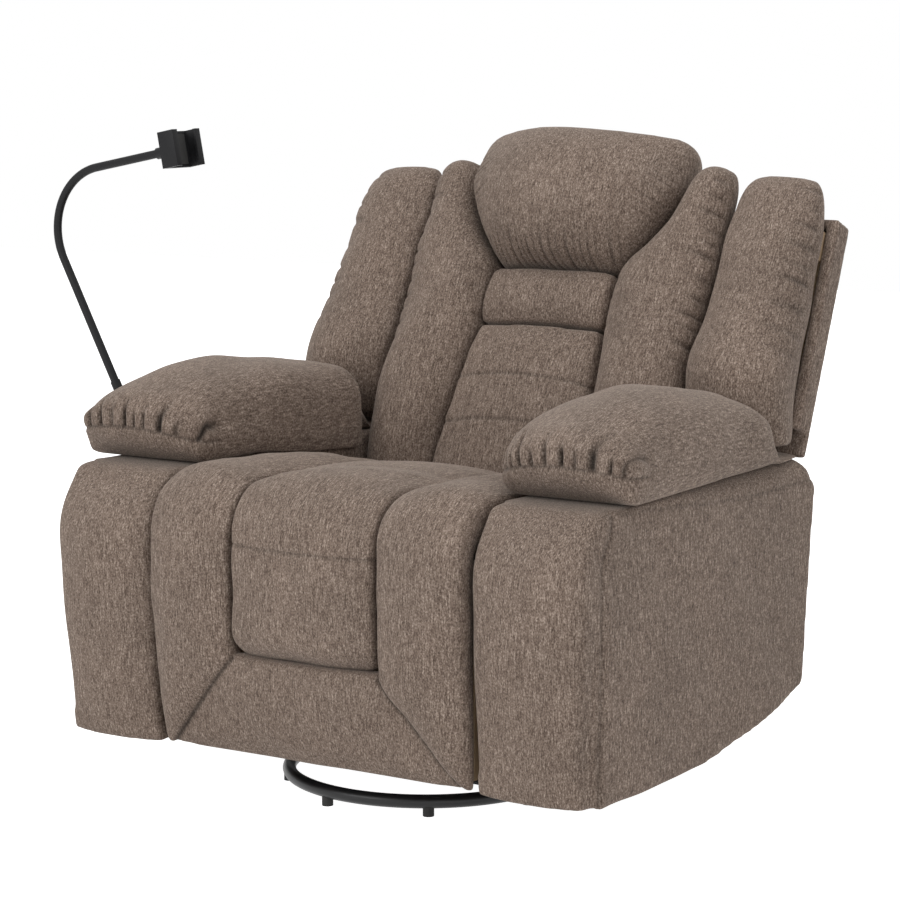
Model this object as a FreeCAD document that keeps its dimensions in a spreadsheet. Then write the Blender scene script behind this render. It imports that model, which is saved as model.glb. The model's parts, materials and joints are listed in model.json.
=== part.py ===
import FreeCAD
import Part
import math
import os
import re
from FreeCAD import Placement, Rotation, Vector

# Swivel rocker recliner. Millimetres and degrees. The origin is on the swivel axis at the floor,
# +Z is up, the chair faces -Y and the sitter's left arm is at +X.

SIZES = [
    ("overall_width", 988, "across the outer faces of the arms"),
    ("seat_width", 592, "between the inner faces of the arms"),
    ("floor_gap", 83, "floor to the underside of the arms"),
    ("arm_height", 524, "floor to the arm tops, under the pillows"),
    ("arm_front", 287, "swivel axis forward to the front of the arm boxes"),
    ("arm_bow", 74, "thickest part of the arm front pads"),
    ("arm_bow_height", 433, "height where the arm front stands furthest forward"),
    ("arm_rear_low", 385, "swivel axis back to the arm's lower rear corner"),
    ("arm_rear_high", 417, "swivel axis back to the arm's upper rear corner"),
    ("arm_rear_slope", 368, "where the arm top starts to slope down to the rear"),
    ("arm_rear_drop", 48, "fall of that slope"),
    ("arm_flat_end", 28, "where the arm's underside starts to rise"),
    ("arm_rear_lift", 63, "rise of the underside at the rear"),
    ("cover_thick", 13, "foam and fabric over the arm boards"),
    ("board_thick", 15, "arm boards"),
    ("front_taper", 52, "how far the footrest front falls back at its foot"),
    ("arm_taper", 27, "how far the arm front falls back at its foot"),
    ("pillow_nose", 275, "swivel axis forward to the nose of the arm pillows"),
    ("pillow_rear", 383, "swivel axis back to the pillow's rear end"),
    ("pillow_height", 152, "arm pillow above the arm top"),
    ("tail_height", 43, "pillow tail above the arm top, under the wings"),
    ("pillow_side", 30, "pillow bulge beyond the arm's outer face"),
    ("pillow_draw", 30, "how far the pillow's outer side draws in towards its rear"),
    ("ring_radius", 225, "ring base, to the tube's centre line"),
    ("ring_tube", 22, "ring tube diameter"),
    ("foot_height", 12, "floor to the ring"),
    ("foot_radius", 9, "rubber feet"),
    ("foot_count", 8, "rubber feet round the ring"),
    ("foot_turn", 34, "angle of the first foot"),
    ("bar_width", 40, "flat bars across the ring"),
    ("bar_thick", 4, "flat bars"),
    ("bar_spread", 75, "bar centre lines from the swivel axis"),
    ("swivel_plate", 200, "side of the square swivel plates"),
    ("plate_thick", 4, "swivel plates"),
    ("bearing_height", 6, "space between the swivel plates"),
    ("bearing_inner", 55, "bearing ring bore radius"),
    ("bearing_outer", 75, "bearing ring outer radius"),
    ("king_radius", 6, "swivel bolt shank"),
    ("bolt_radius", 4, "plate bolts"),
    ("bolt_spread", 80, "plate bolts from the centre line"),
    ("head_height", 4, "bolt heads"),
    ("crosser_height", 16, "platform cross members"),
    ("crosser_width", 40, "platform cross members"),
    ("crosser_spread", 80, "cross members from the swivel axis"),
    ("rocker_rail_length", 340, "rails under the rocker cams"),
    ("rocker_rail_height", 12, "rails under the rocker cams"),
    ("rocker_rail_thick", 18, "rails and cams"),
    ("rock_height", 480, "height of the rocking centre"),
    ("cam_length", 360, "rocker cams"),
    ("cam_top", 200, "top edge of the rocker cams"),
    ("spring_inset", 37, "rocker springs from the steel side plates"),
    ("spring_radius", 12, "rocker spring, to the wire's centre"),
    ("spring_wire", 5, "rocker spring wire diameter"),
    ("spring_turns", 7, "rocker spring turns"),
    ("cross_tube_height", 165, "cross tube above the floor"),
    ("cross_tube_radius", 11, "cross tube"),
    ("rail_thick", 24, "seat rails"),
    ("rail_height", 50, "seat rails"),
    ("rail_top", 425, "top of the seat rails"),
    ("rail_front", 262, "swivel axis forward to the front rail"),
    ("rail_rear", 237, "swivel axis back to the rear rail"),
    ("seat_wire", 3.8, "zigzag seat spring wire diameter"),
    ("seat_spring_count", 5, "zigzag springs"),
    ("seat_spring_width", 64, "zigzag spring"),
    ("seat_spring_bend", 12, "bend radius of a zigzag spring"),
    ("seat_crest", 542, "top of the seat at its front"),
    ("seat_rear_top", 480, "top of the seat at the back"),
    ("seat_rear", 201, "swivel axis back to the seat's rear end"),
    ("front_reach", 372, "swivel axis forward to the footrest's face"),
    ("bend_radius", 108, "roll of the pad over the seat's front edge"),
    ("centre_half", 134, "half width of the middle channel"),
    ("channel_crown", 17, "crown of the seat channels"),
    ("channel_gap", 4, "crease between channels"),
    ("side_gap", 4, "channels to the arms"),
    ("footrest_board", 18, "footrest board thickness"),
    ("board_face", 305, "swivel axis forward to the board's front face"),
    ("board_low", 105, "bottom of the footrest board"),
    ("board_high", 395, "top of the footrest board"),
    ("footrest_low", 91, "lowest edge of the footrest pads"),
    ("middle_low", 252, "bottom of the middle footrest pad"),
    ("mitre_top", 248, "height where the mitre seams start"),
    ("mitre_end", 19.6, "width left of a side channel at the foot of its mitre seam"),
    ("side_plate_thick", 3, "steel side plates"),
    ("side_plate_low", 105, "bottom of the side plates"),
    ("link_thick", 4, "cranks and couplers"),
    ("link_width", 18, "cranks and couplers"),
    ("layer_gap", 2, "between link layers"),
    ("pin_radius", 5, "linkage pins"),
    ("drive_radius", 10, "drive tube"),
    ("link_short", 163, "upper pivots from the fold line"),
    ("link_long", 235, "lower pivots from the fold line"),
    ("link_lean", 24.75, "lean of the pivot line from upright"),
    ("base_reach", 253, "fold line to the drive tube"),
    ("base_fall", 39.4, "fall of the pivot base line"),
    ("base_spacing", 85, "drive tube to the rear crank pivot"),
    ("recline_y", 330, "swivel axis back to the recline pivot"),
    ("recline_z", 300, "recline pivot above the floor"),
    ("recline_pin", 8, "recline pivot pin radius"),
    ("back_tilt", 22.9, "back frame lean from upright"),
    ("post_gap", 7, "back posts to the steel side plates"),
    ("post_width", 24, "back posts"),
    ("post_thick", 20, "back posts, front to rear"),
    ("post_tail", 26, "back posts below the recline pivot"),
    ("ear_rear", 18, "hinge bracket ear behind the pivot"),
    ("ear_low", 24, "hinge bracket ear below the pivot"),
    ("ear_high", 44, "hinge bracket ear above the pivot"),
    ("strap_lap", 60, "hinge bracket strap above the bottom of the back pads"),
    ("wing_post_in", 46, "wing posts, inner face from the shell's side"),
    ("wing_post_out", 22, "wing posts, outer face from the shell's side"),
    ("rail_lift", 8, "lowest back rail above the bottom of the back pads"),
    ("middle_rail", 30, "middle back rail above the lumbar joint"),
    ("sweep_gap", 2, "step between the parts that clear the arms"),
    ("panel_rear", 5, "rear face of the rear shell from the pivot line"),
    ("panel_low", 50, "rear shell between the arms, above the pivot"),
    ("cap_thick", 14, "top edge of the rear shell"),
    ("back_rail", 16, "back rails, front to rear"),
    ("back_rail_height", 50, "back rails"),
    ("skirt_inset", 4, "rear skirt ahead of the arms' lower rear corners"),
    ("skirt_low", 108, "bottom of the rear skirt"),
    ("skirt_high", 316, "top of the rear skirt"),
    ("back_top", 612, "pivot up to the top of the back frame"),
    ("shell_thick", 15, "rear shell panel"),
    ("shell_inset", 18, "rear shell from the arms' outer faces"),
    ("cheek_thick", 21, "side walls of the rear shell"),
    ("shell_top", 636, "pivot up to the shell's top edge"),
    ("shell_gap", 7, "rear shell to the arm top as the back swings"),
    ("back_low", 95, "pivot up to the bottom of the back pads"),
    ("back_depth", 200, "pivot plane forward to the fullest part of the bolsters"),
    ("bolster_width", 178, "inner arm face to the lumbar pads at their joint"),
    ("lumbar_flare", 30, "extra half width at the lumbar bottom"),
    ("lumbar_join", 393, "pivot up to the joint of the lumbar pads"),
    ("head_low", 500, "pivot up to the head pillow's bottom"),
    ("head_top", 756, "pivot up to the head pillow's top"),
    ("bolster_neck", 90, "inner arm face to the widest part of the head pillow"),
    ("head_corner", 30, "how far the head pillow's top corners draw in"),
    ("head_rear", 24, "pivot plane forward to the rear of the head pillow's top"),
    ("wing_gap", 9, "wings to the pillow tails as the back swings"),
    ("wing_skirt", 40, "wing pads below their rounded bottoms, before these are cut"),
    ("bolster_top", 705, "pivot up to the bolster tops"),
    ("wing_top", 698, "pivot up to the wing tops"),
    ("wing_draw", 16, "how far a wing's outer side draws in towards its top"),
    ("bracket_thick", 3.5, "back hinge brackets"),
    ("lever_y", 60, "release lever pivot behind the swivel axis"),
    ("lever_z", 300, "release lever pivot above the floor"),
    ("lever_length", 170, "release lever"),
    ("lever_width", 28, "release lever"),
    ("lever_thick", 14, "release lever"),
    ("shaft_radius", 8, "lever shaft"),
    ("bezel_thick", 4, "lever bezel"),
    ("neck_forward", 88, "gooseneck ahead of the swivel axis"),
    ("neck_out", 10, "gooseneck root outside the arm"),
    ("neck_drop", 24, "gooseneck root below the arm top"),
    ("neck_lean", 28, "outward lean of the gooseneck"),
    ("neck_rise", 523, "root to the corner of the gooseneck"),
    ("neck_bend", 108, "bend radius of the gooseneck"),
    ("neck_run", 303, "corner to the clamp end of the gooseneck"),
    ("run_tilt", 11, "rise of the gooseneck's end run"),
    ("neck_radius", 7, "gooseneck tube"),
    ("socket_wall", 3, "gooseneck socket"),
    ("socket_depth", 42, "gooseneck socket"),
    ("ferrule_length", 105, "gooseneck ferrule"),
    ("clamp_width", 56, "phone clamp back plate"),
    ("clamp_height", 60, "phone clamp"),
    ("clamp_plate", 8, "phone clamp back plate thickness"),
    ("jaw_reach", 24, "phone clamp jaws, in front of the plate"),
    ("jaw_thick", 8, "phone clamp jaws"),
    ("rod_radius", 2.5, "jaw guide rods"),
    ("rod_spread", 12, "jaw guide rods from the middle"),
    ("pin_gap", 0.05, "running clearance round a pin"),
    ("face_gap", 0.3, "clearance between pieces that move or press lightly"),
    ("tuck", 5, "how far a pad's sides draw in at its base and top"),
]

PLACES = [
    ("arm_in", "seat_width / 2"),
    ("arm_out", "overall_width / 2"),
    ("ring_z", "foot_height + ring_tube / 2"),
    ("bars_z", "foot_height + ring_tube"),
    ("lower_plate_z", "bars_z + bar_thick"),
    ("bearing_z", "lower_plate_z + plate_thick"),
    ("upper_plate_z", "bearing_z + bearing_height"),
    ("crosser_z", "upper_plate_z + plate_thick"),
    ("rocker_rail_z", "crosser_z + crosser_height"),
    ("cam_low", "rocker_rail_z + rocker_rail_height + face_gap"),
    ("plate_out", "arm_in - rail_thick"),
    ("plate_in", "plate_out - side_plate_thick"),
    ("spring_x", "plate_in - spring_inset"),
    ("crank_in", "plate_in - 2 * layer_gap - link_thick"),
    ("coupler_in", "crank_in - layer_gap - link_thick"),
    ("lug_in", "coupler_in - layer_gap - link_thick"),
    ("rail_low", "rail_top - rail_height"),
    ("deck_z", "rail_top + seat_wire + face_gap"),
    ("bend_y", "bend_radius - front_reach"),
    ("bend_z", "seat_crest - bend_radius"),
    ("fold_y", "bend_y - bend_radius * sin(45)"),
    ("fold_z", "bend_z + bend_radius * sin(45)"),
    ("drive_y", "fold_y + base_reach * cos(base_fall)"),
    ("drive_z", "fold_z - base_reach * sin(base_fall)"),
    ("rear_y", "drive_y + base_spacing * cos(base_fall)"),
    ("rear_z", "drive_z - base_spacing * sin(base_fall)"),
    ("upper_y", "fold_y + link_short * sin(link_lean)"),
    ("upper_z", "fold_z - link_short * cos(link_lean)"),
    ("lower_y", "fold_y + link_long * sin(link_lean)"),
    ("lower_z", "fold_z - link_long * cos(link_lean)"),
    ("board_back", "board_face - footrest_board"),
    ("mitre_slope",
     "(arm_in - side_gap - centre_half - channel_gap - mitre_end) / (mitre_top - footrest_low)"),
    ("shell_half", "arm_out - shell_inset"),
    ("arm_clear", "arm_height - recline_z + shell_gap"),
    ("wing_clear", "arm_height + tail_height - recline_z + wing_gap"),
    ("lumbar_half", "arm_in - bolster_width"),
    ("head_half", "arm_in - bolster_neck"),
    ("post_out", "plate_in - post_gap"),
    ("post_inner", "post_out - post_width"),
    ("post_rear", "shell_thick + 5"),
    ("post_front", "post_rear + post_thick"),
    ("pad_base", "post_front + back_rail + face_gap"),
    ("neck_x", "-arm_out - neck_out"),
    ("neck_root", "arm_height - neck_drop"),
    ("neck_corner_x", "neck_x - neck_rise * sin(neck_lean)"),
    ("neck_corner_z", "neck_root + neck_rise * cos(neck_lean)"),
    ("clamp_x", "neck_corner_x + neck_run * cos(run_tilt)"),
    ("clamp_z", "neck_corner_z + neck_run * sin(run_tilt)"),
]

doc = FreeCAD.newDocument("swivel_rocker_recliner")
SIZE_NAMES = {row[0] for row in SIZES}
PLACE_NAMES = {row[0] for row in PLACES}


def spelled(text, inside=""):
    """An expression with each size and place written with the name of the sheet that holds it."""

    def full(match):
        word = match.group(0)
        if word in SIZE_NAMES:
            return "Sizes." + word
        if word in PLACE_NAMES and inside != "Places":
            return "Places." + word
        return word

    return re.sub(r"[a-z_][a-z0-9_]*", full, text)


sizes = doc.addObject("Spreadsheet::Sheet", "Sizes")
for row, (alias, number, note) in enumerate(SIZES, 1):
    sizes.set(f"A{row}", note)
    sizes.set(f"B{row}", str(number))
    sizes.setAlias(f"B{row}", alias)
places = doc.addObject("Spreadsheet::Sheet", "Places")
for row, (alias, text) in enumerate(PLACES, 1):
    places.setAlias(f"B{row}", alias)
for row, (alias, text) in enumerate(PLACES, 1):
    places.set(f"B{row}", "=" + spelled(text, inside="Places"))
doc.recompute()


def v(name):
    """The present value of a size or place."""
    return float(sizes.get(name) if name in SIZE_NAMES else places.get(name))


# Building blocks

NODES = {}
TO_X = Rotation(Vector(0, 1, 0), 90)
TO_Y = Rotation(Vector(1, 0, 0), -90)
DIRECTION = {"X": TO_X, "Y": TO_Y, "Z": Rotation()}
LEFT_RIGHT = ("left", "right")


def bind(piece, **texts):
    for prop, text in texts.items():
        piece.setExpression(prop.replace("__", "."), spelled(text))
    return piece


def at(piece, corner):
    return bind(piece, Placement__Base__x=corner[0], Placement__Base__y=corner[1],
                Placement__Base__z=corner[2])


def turned(piece, axis, angle):
    """Turn a piece about an axis by a positive angle that is bound to the sheet."""
    piece.Placement = Placement(piece.Placement.Base, Rotation(axis, 1))
    return bind(piece, Placement__Rotation__Angle=angle)


def box(corner, extent):
    piece = doc.addObject("Part::Box", "box")
    bind(piece, Length=extent[0], Width=extent[1], Height=extent[2])
    return at(piece, corner)


def rod(radius, length, start, along="X"):
    piece = doc.addObject("Part::Cylinder", "rod")
    piece.Placement = Placement(Vector(), DIRECTION[along])
    bind(piece, Radius=radius, Height=length)
    return at(piece, start)


def fused(*pieces):
    whole = doc.addObject("Part::MultiFuse", "fused")
    whole.Shapes = list(pieces)
    return whole


def cut(base, *tools):
    piece = doc.addObject("Part::Cut", "cut")
    piece.Base = base
    piece.Tool = tools[0] if len(tools) == 1 else fused(*tools)
    return piece


def mirrored(piece):
    twin = doc.addObject("Part::Mirroring", "twin")
    twin.Source = piece
    twin.Normal = Vector(1, 0, 0)
    return twin


def grouped(*pieces):
    group = doc.addObject("Part::Compound", "group")
    group.Links = list(pieces)
    return group


def pair(piece):
    return grouped(piece, mirrored(piece))


def formed(shape):
    piece = doc.addObject("Part::Feature", "form")
    piece.Shape = shape
    return piece


def node(name, piece):
    piece.Label = name
    NODES[name] = piece
    return piece


def sides(stem, piece):
    """A node for the sitter's left piece, at +X, and one for its mirror image on the right."""
    node(stem + "_left", piece)
    node(stem + "_right", mirrored(piece))


# Soft forms

def crowned(place, low, high, rise, crown, tuck):
    """A pad's cross-section: a flat base, sides that draw in at base and top, and a crowned face.

    place(x, d) is the point x across the pad and d above its base.
    """
    shoulder = rise - crown
    base_low = place(low + tuck, 0)
    base_high = place(high - tuck, 0)
    top_high = place(high - tuck / 2, shoulder)
    top_low = place(low + tuck / 2, shoulder)
    return Part.Wire([
        Part.LineSegment(base_low, base_high).toShape(),
        Part.Arc(base_high, place(high, shoulder / 2), top_high).toShape(),
        Part.Arc(top_high, place((low + high) / 2, rise), top_low).toShape(),
        Part.Arc(top_low, place(low, shoulder / 2), base_low).toShape(),
    ])


def lofted(sections):
    return Part.makeLoft(sections, True, False)


def lofted_runs(runs):
    """One solid from lofts that follow each other, each starting with the last section of the one before."""
    parts = [lofted(run) for run in runs]
    whole = parts[0].multiFuse(parts[1:])
    return whole.Solids[0]


def tube_along(edges, radius):
    """A round bar along a smooth path."""
    path = Part.Wire(edges)
    start = path.OrderedVertexes[0].Point
    heading = path.OrderedEdges[0].tangentAt(path.OrderedEdges[0].FirstParameter)
    ring = Part.Wire([Part.Circle(start, heading, radius).toShape()])
    return path.makePipeShell([ring], True, False)


# Ring base

def ring_base():
    ring = doc.addObject("Part::Torus", "ring")
    bind(ring, Radius1="ring_radius", Radius2="ring_tube / 2", Placement__Base__z="ring_z")
    node("base_ring", ring)
    feet = []
    for index in range(int(v("foot_count"))):
        angle = f"(foot_turn + {index} * 360 / foot_count)"
        spot = (f"ring_radius * cos({angle})", f"ring_radius * sin({angle})", "0")
        feet.append(rod("foot_radius", "foot_height + ring_tube / 4", spot, "Z"))
    node("base_feet", cut(grouped(*feet), ring))
    bar_half = "(ring_radius + ring_tube / 4)"
    bars = []
    for side in ("-1", "1"):
        corner = (f"-{bar_half}", f"{side} * bar_spread - bar_width / 2", "bars_z")
        bars.append(box(corner, (f"2 * {bar_half}", "bar_width", "bar_thick")))
    spots = [(f"{a} * bolt_spread", f"{b} * bar_spread") for a in ("-1", "1") for b in ("-1", "1")]
    holes = [rod("bolt_radius", "bar_thick + plate_thick", spot + ("bars_z",), "Z") for spot in spots]
    node("base_bars", cut(grouped(*bars), *holes))
    half = "-swivel_plate / 2"
    lower = box((half, half, "lower_plate_z"), ("swivel_plate", "swivel_plate", "plate_thick"))
    king_hole = rod("king_radius + pin_gap", "plate_thick", ("0", "0", "lower_plate_z"), "Z")
    node("swivel_lower_plate", cut(lower, king_hole, *holes))
    bearing = rod("bearing_outer", "bearing_height - face_gap", ("0", "0", "bearing_z"), "Z")
    bore = rod("bearing_inner", "bearing_height", ("0", "0", "bearing_z"), "Z")
    node("swivel_bearing", cut(bearing, bore))
    shank_length = "plate_thick * 2 + bearing_height + face_gap"
    shank = rod("king_radius", shank_length, ("0", "0", "lower_plate_z"), "Z")
    head = rod("2 * king_radius", "1.5 * head_height", ("0", "0", "crosser_z + face_gap"), "Z")
    nut = rod("2 * king_radius", "head_height", ("0", "0", "lower_plate_z - head_height"), "Z")
    node("swivel_bolt", fused(shank, head, nut))
    bolts = []
    for spot in spots:
        stem = rod("bolt_radius", "bar_thick + plate_thick", spot + ("bars_z",), "Z")
        cap = rod("2 * bolt_radius", "head_height", spot + ("bearing_z",), "Z")
        bolts.append(fused(stem, cap))
    node("base_bolts", grouped(*bolts))


# Swivel platform

def platform():
    half = "-swivel_plate / 2"
    upper = box((half, half, "upper_plate_z"), ("swivel_plate", "swivel_plate", "plate_thick"))
    king_hole = rod("king_radius + pin_gap", "plate_thick", ("0", "0", "upper_plate_z"), "Z")
    spots = [(f"{a} * bolt_spread * 0.75", f"{b} * crosser_spread")
             for a in ("-1", "1") for b in ("-1", "1")]
    stems = [rod("bolt_radius", "plate_thick + crosser_height", spot + ("upper_plate_z",), "Z")
             for spot in spots]
    node("swivel_upper_plate", cut(upper, king_hole, *stems))
    reach = "(plate_out + rocker_rail_thick + face_gap)"
    crossers = []
    for side in ("-1", "1"):
        corner = (f"-{reach}", f"{side} * crosser_spread - crosser_width / 2", "crosser_z")
        crossers.append(box(corner, (f"2 * {reach}", "crosser_width", "crosser_height")))
    node("platform_crossers", cut(grouped(*crossers), *stems))
    rail = box(("plate_out + face_gap", "-rocker_rail_length / 2", "rocker_rail_z"),
               ("rocker_rail_thick", "rocker_rail_length", "rocker_rail_height"))
    node("rocker_rails", pair(rail))
    bolts = []
    for spot in spots:
        stem = rod("bolt_radius", "plate_thick + crosser_height", spot + ("upper_plate_z",), "Z")
        cap = rod("2 * bolt_radius", "head_height", spot + ("rocker_rail_z",), "Z")
        bolts.append(fused(stem, cap))
    node("platform_bolts", grouped(*bolts))
    coil = formed(coil_spring(v("spring_x"), v("crosser_spread")))
    node("rocker_springs", pair(coil))


def arc_from(start, heading, end):
    """The arc that leaves start along heading and reaches end, and its direction there."""
    chord = end - start
    across = chord - heading * chord.dot(heading)
    across.normalize()
    radius = chord.dot(chord) / (2 * chord.dot(across))
    centre = start + across * radius
    outward = (start + end) * 0.5 - centre
    outward.normalize()
    return Part.Arc(start, centre + outward * radius, end).toShape()


def biarc(start, start_way, end, end_way):
    """Two arcs that join two points smoothly, each leaving its point along the given direction."""
    chord = end - start
    ways = start_way + end_way
    a = 2 * (1 - start_way.dot(end_way))
    b = 2 * chord.dot(ways)
    reach = (-b + math.sqrt(b * b + 4 * a * chord.dot(chord))) / (2 * a)
    middle = (start + end) * 0.5 + (start_way - end_way) * (reach / 2)
    back = arc_from(end, end_way * -1, middle)
    return [arc_from(start, start_way, middle), Part.Arc(middle, back.valueAt(
        (back.FirstParameter + back.LastParameter) / 2), end).toShape()]


def coil_spring(x, y):
    """An open coil between the platform and the seat under the cross tube."""
    wire = v("spring_wire") / 2
    low = v("rocker_rail_z") + wire + v("face_gap") / 3
    high = v("cross_tube_height") - v("cross_tube_radius") - v("head_height") - wire - v("face_gap") / 3
    quarters = int(4 * v("spring_turns"))
    radius = v("spring_radius")
    climb = (high - low) / quarters
    points, ways = [], []
    for step in range(quarters + 1):
        angle = step * math.pi / 2
        points.append(Vector(x + radius * math.cos(angle), y + radius * math.sin(angle), low + climb * step))
        way = Vector(-math.sin(angle), math.cos(angle), climb / (radius * math.pi / 2))
        ways.append(way.normalize())
    edges = []
    for step in range(quarters):
        edges += biarc(points[step], ways[step], points[step + 1], ways[step + 1])
    gap = min((points[i] - points[i + 4]).Length for i in range(quarters - 3)) - 2 * wire
    print(f"rocker spring: least gap between turns {gap:.2f} mm")
    return tube_along(edges, wire)


# Chair frame: rocker, side plates, seat rails and springs

def chair_frame():
    cam_box = box(("plate_out", "-cam_length / 2", "cam_low"),
                  ("rocker_rail_thick", "cam_length", "cam_top - cam_low"))
    roll = rod("rock_height - cam_low", "rocker_rail_thick", ("plate_out", "0", "rock_height"))
    cam = doc.addObject("Part::Common", "cam")
    cam.Base = cam_box
    cam.Tool = roll
    node("rocker_cams", pair(cam))
    thick = "side_plate_thick"
    lower = box(("plate_in", "-cam_length / 2 + 20", "side_plate_low"), (thick, "cam_length - 40",
                "rail_low - side_plate_low"))
    upper = box(("plate_in", "drive_y - 60", "drive_z - 30"), (thick, "rail_rear - drive_y + 60",
                "rail_top - drive_z + 30"))
    lug = box(("plate_in", "rail_rear", "recline_z - 30"), (thick, "recline_y - rail_rear + 26", "60"))
    web = box(("plate_in", "cam_length / 2 - 20", "recline_z - 30"),
              (thick, "rail_rear - cam_length / 2 + 20", "rail_top - recline_z + 30"))
    rear_stud = rod("pin_radius", "2 * layer_gap + link_thick", ("plate_in - 2 * layer_gap - link_thick",
                    "rear_y", "rear_z"))
    back_stud = rod("recline_pin", "plate_in - post_out", ("post_out", "recline_y", "recline_z"))
    drive_hole = rod("drive_radius + pin_gap", "3 * side_plate_thick", ("plate_in - side_plate_thick",
                     "drive_y", "drive_z"))
    shaft_hole = rod("shaft_radius + pin_gap", "3 * side_plate_thick", ("plate_in - side_plate_thick",
                     "lever_y", "lever_z"))
    plate = fused(lower, upper, web, lug, rear_stud, back_stud)
    node("side_plates", pair(cut(plate, drive_hole, shaft_hole)))
    tube = rod("cross_tube_radius", "2 * plate_in", ("-plate_in", "crosser_spread", "cross_tube_height"))
    seats = []
    for side in ("-1", "1"):
        spot = (f"{side} * spring_x", "crosser_spread",
                "cross_tube_height - cross_tube_radius - head_height")
        seats.append(rod("spring_radius + spring_wire / 2", "head_height + cross_tube_radius", spot, "Z"))
    node("cross_tube", fused(tube, *seats))
    front = box(("-plate_out", "-rail_front", "rail_low"), ("2 * plate_out", "rail_thick", "rail_height"))
    rear = box(("-plate_in", "rail_rear - rail_thick", "rail_low"),
               ("2 * plate_in", "rail_thick", "rail_height"))
    long_rail = box(("plate_out", "-rail_front", "rail_low"),
                    ("rail_thick", "rail_front + rail_rear", "rail_height"))
    node("seat_rails", grouped(front, rear, long_rail, mirrored(long_rail)))
    skirt()
    count = int(v("seat_spring_count"))
    step = 2 * v("plate_out") / (count + 0.5)
    springs = [formed(zigzag((index - (count - 1) / 2) * step)) for index in range(count)]
    node("seat_springs", grouped(*springs))


def skirt():
    """The cloth-covered board that closes the rear between the arms."""
    half = "(arm_in - face_gap)"
    node("rear_skirt", box((f"-{half}", "arm_rear_low - skirt_inset", "skirt_low"),
                           (f"2 * {half}", "board_thick", "skirt_high - skirt_low")))


def zigzag(x):
    """A flat zigzag seat spring from the front rail to the rear rail: bars across, joined by half turns."""
    bend = v("seat_spring_bend")
    half = v("seat_spring_width") / 2 - bend
    z = v("rail_top") + v("seat_wire") / 2
    y = -v("rail_front") + v("rail_thick") / 2
    last = v("rail_rear") - v("rail_thick") / 2
    side = 1
    edges = []
    while y + 2 * bend <= last:
        far = Vector(x + side * half, y, z)
        edges.append(Part.LineSegment(Vector(x - side * half, y, z), far).toShape())
        tip = Vector(x + side * (half + bend), y + bend, z)
        next_row = Vector(x + side * half, y + 2 * bend, z)
        edges.append(Part.Arc(edges[-1].Vertexes[1].Point, tip, next_row).toShape())
        y += 2 * bend
        side = -side
    edges.append(Part.LineSegment(Vector(x - side * half, y, z), Vector(x + side * half, y, z)).toShape())
    return tube_along(edges, v("seat_wire") / 2)


# Seat and footrest channels: one pad that rolls over the seat's front edge, parted at the fold line

PARTING = 0.3
ROLL = 45.0
TUCK = v("tuck")


def roll_place(angle, inner):
    """Points round the roll, at an angle from straight up and from an inner radius outwards."""
    turn = math.radians(angle)

    def place(x, d):
        reach = inner + d
        return Vector(x, v("bend_y") - math.sin(turn) * reach, v("bend_z") + math.cos(turn) * reach)

    return place


def face_back(z, reach, taper, top):
    """How far forward a front face stands at a height: it falls back towards its foot."""
    share = max(0.0, (top - z) / (top - v("footrest_low")))
    return reach - taper * share ** 3


def seat_channel(low, high):
    """A seat pad: flat on the springs, then rolling over the front edge as far as the parting."""
    rear, bend, deck = v("seat_rear"), v("bend_y"), v("deck_z")
    flat = []
    for share in (0.0, 0.25, 0.5, 0.75):
        y = rear + (bend - rear) * share
        top = v("seat_crest") - (v("seat_crest") - v("seat_rear_top")) * (1 - share) ** 2
        flat.append(crowned(lambda x, d, y=y: Vector(x, y, deck + d), low, high, top - deck,
                            v("channel_crown"), TUCK))
    start, end = deck - v("bend_z"), v("board_face") + v("face_gap") + bend
    roll = [roll_section(low, high, share * (ROLL - PARTING), start + (end - start) * share)
            for share in (0.0, 0.5, 1.0)]
    return formed(lofted_runs([flat + roll[:1], roll]))


def roll_section(low, high, angle, inner):
    return crowned(roll_place(angle, inner), low, high, v("bend_radius") - inner, v("channel_crown"), TUCK)


def footrest_channel(*runs):
    """A footrest pad. Runs are stations of (height, low x, high x, share of the full depth), top first."""
    low, high = runs[0][0][1:3]
    inner = v("board_face") + v("face_gap") + v("bend_y")
    sections = [[roll_section(low, high, angle, inner) for angle in (ROLL + PARTING, 1.5 * ROLL, 2 * ROLL)]]
    for stations in runs:
        sections.append(sections[-1][-1:] + front_sections(stations))
    return formed(lofted_runs(sections))


def front_sections(stations):
    base = v("board_face") + v("face_gap")
    sections = []
    for z, low, high, share in stations:
        rise = (face_back(z, v("front_reach"), v("front_taper"), v("bend_z")) - base) * share
        sections.append(crowned(lambda x, d, z=z: Vector(x, -base - d, z), low, high, rise,
                                min(v("channel_crown"), rise * 0.4), TUCK))
    return sections


def mitre_x(z):
    """Where the mitre seam runs at a height, on the left side."""
    start = v("centre_half") + v("channel_gap")
    return start + max(0.0, v("mitre_top") - z) * v("mitre_slope")


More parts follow.
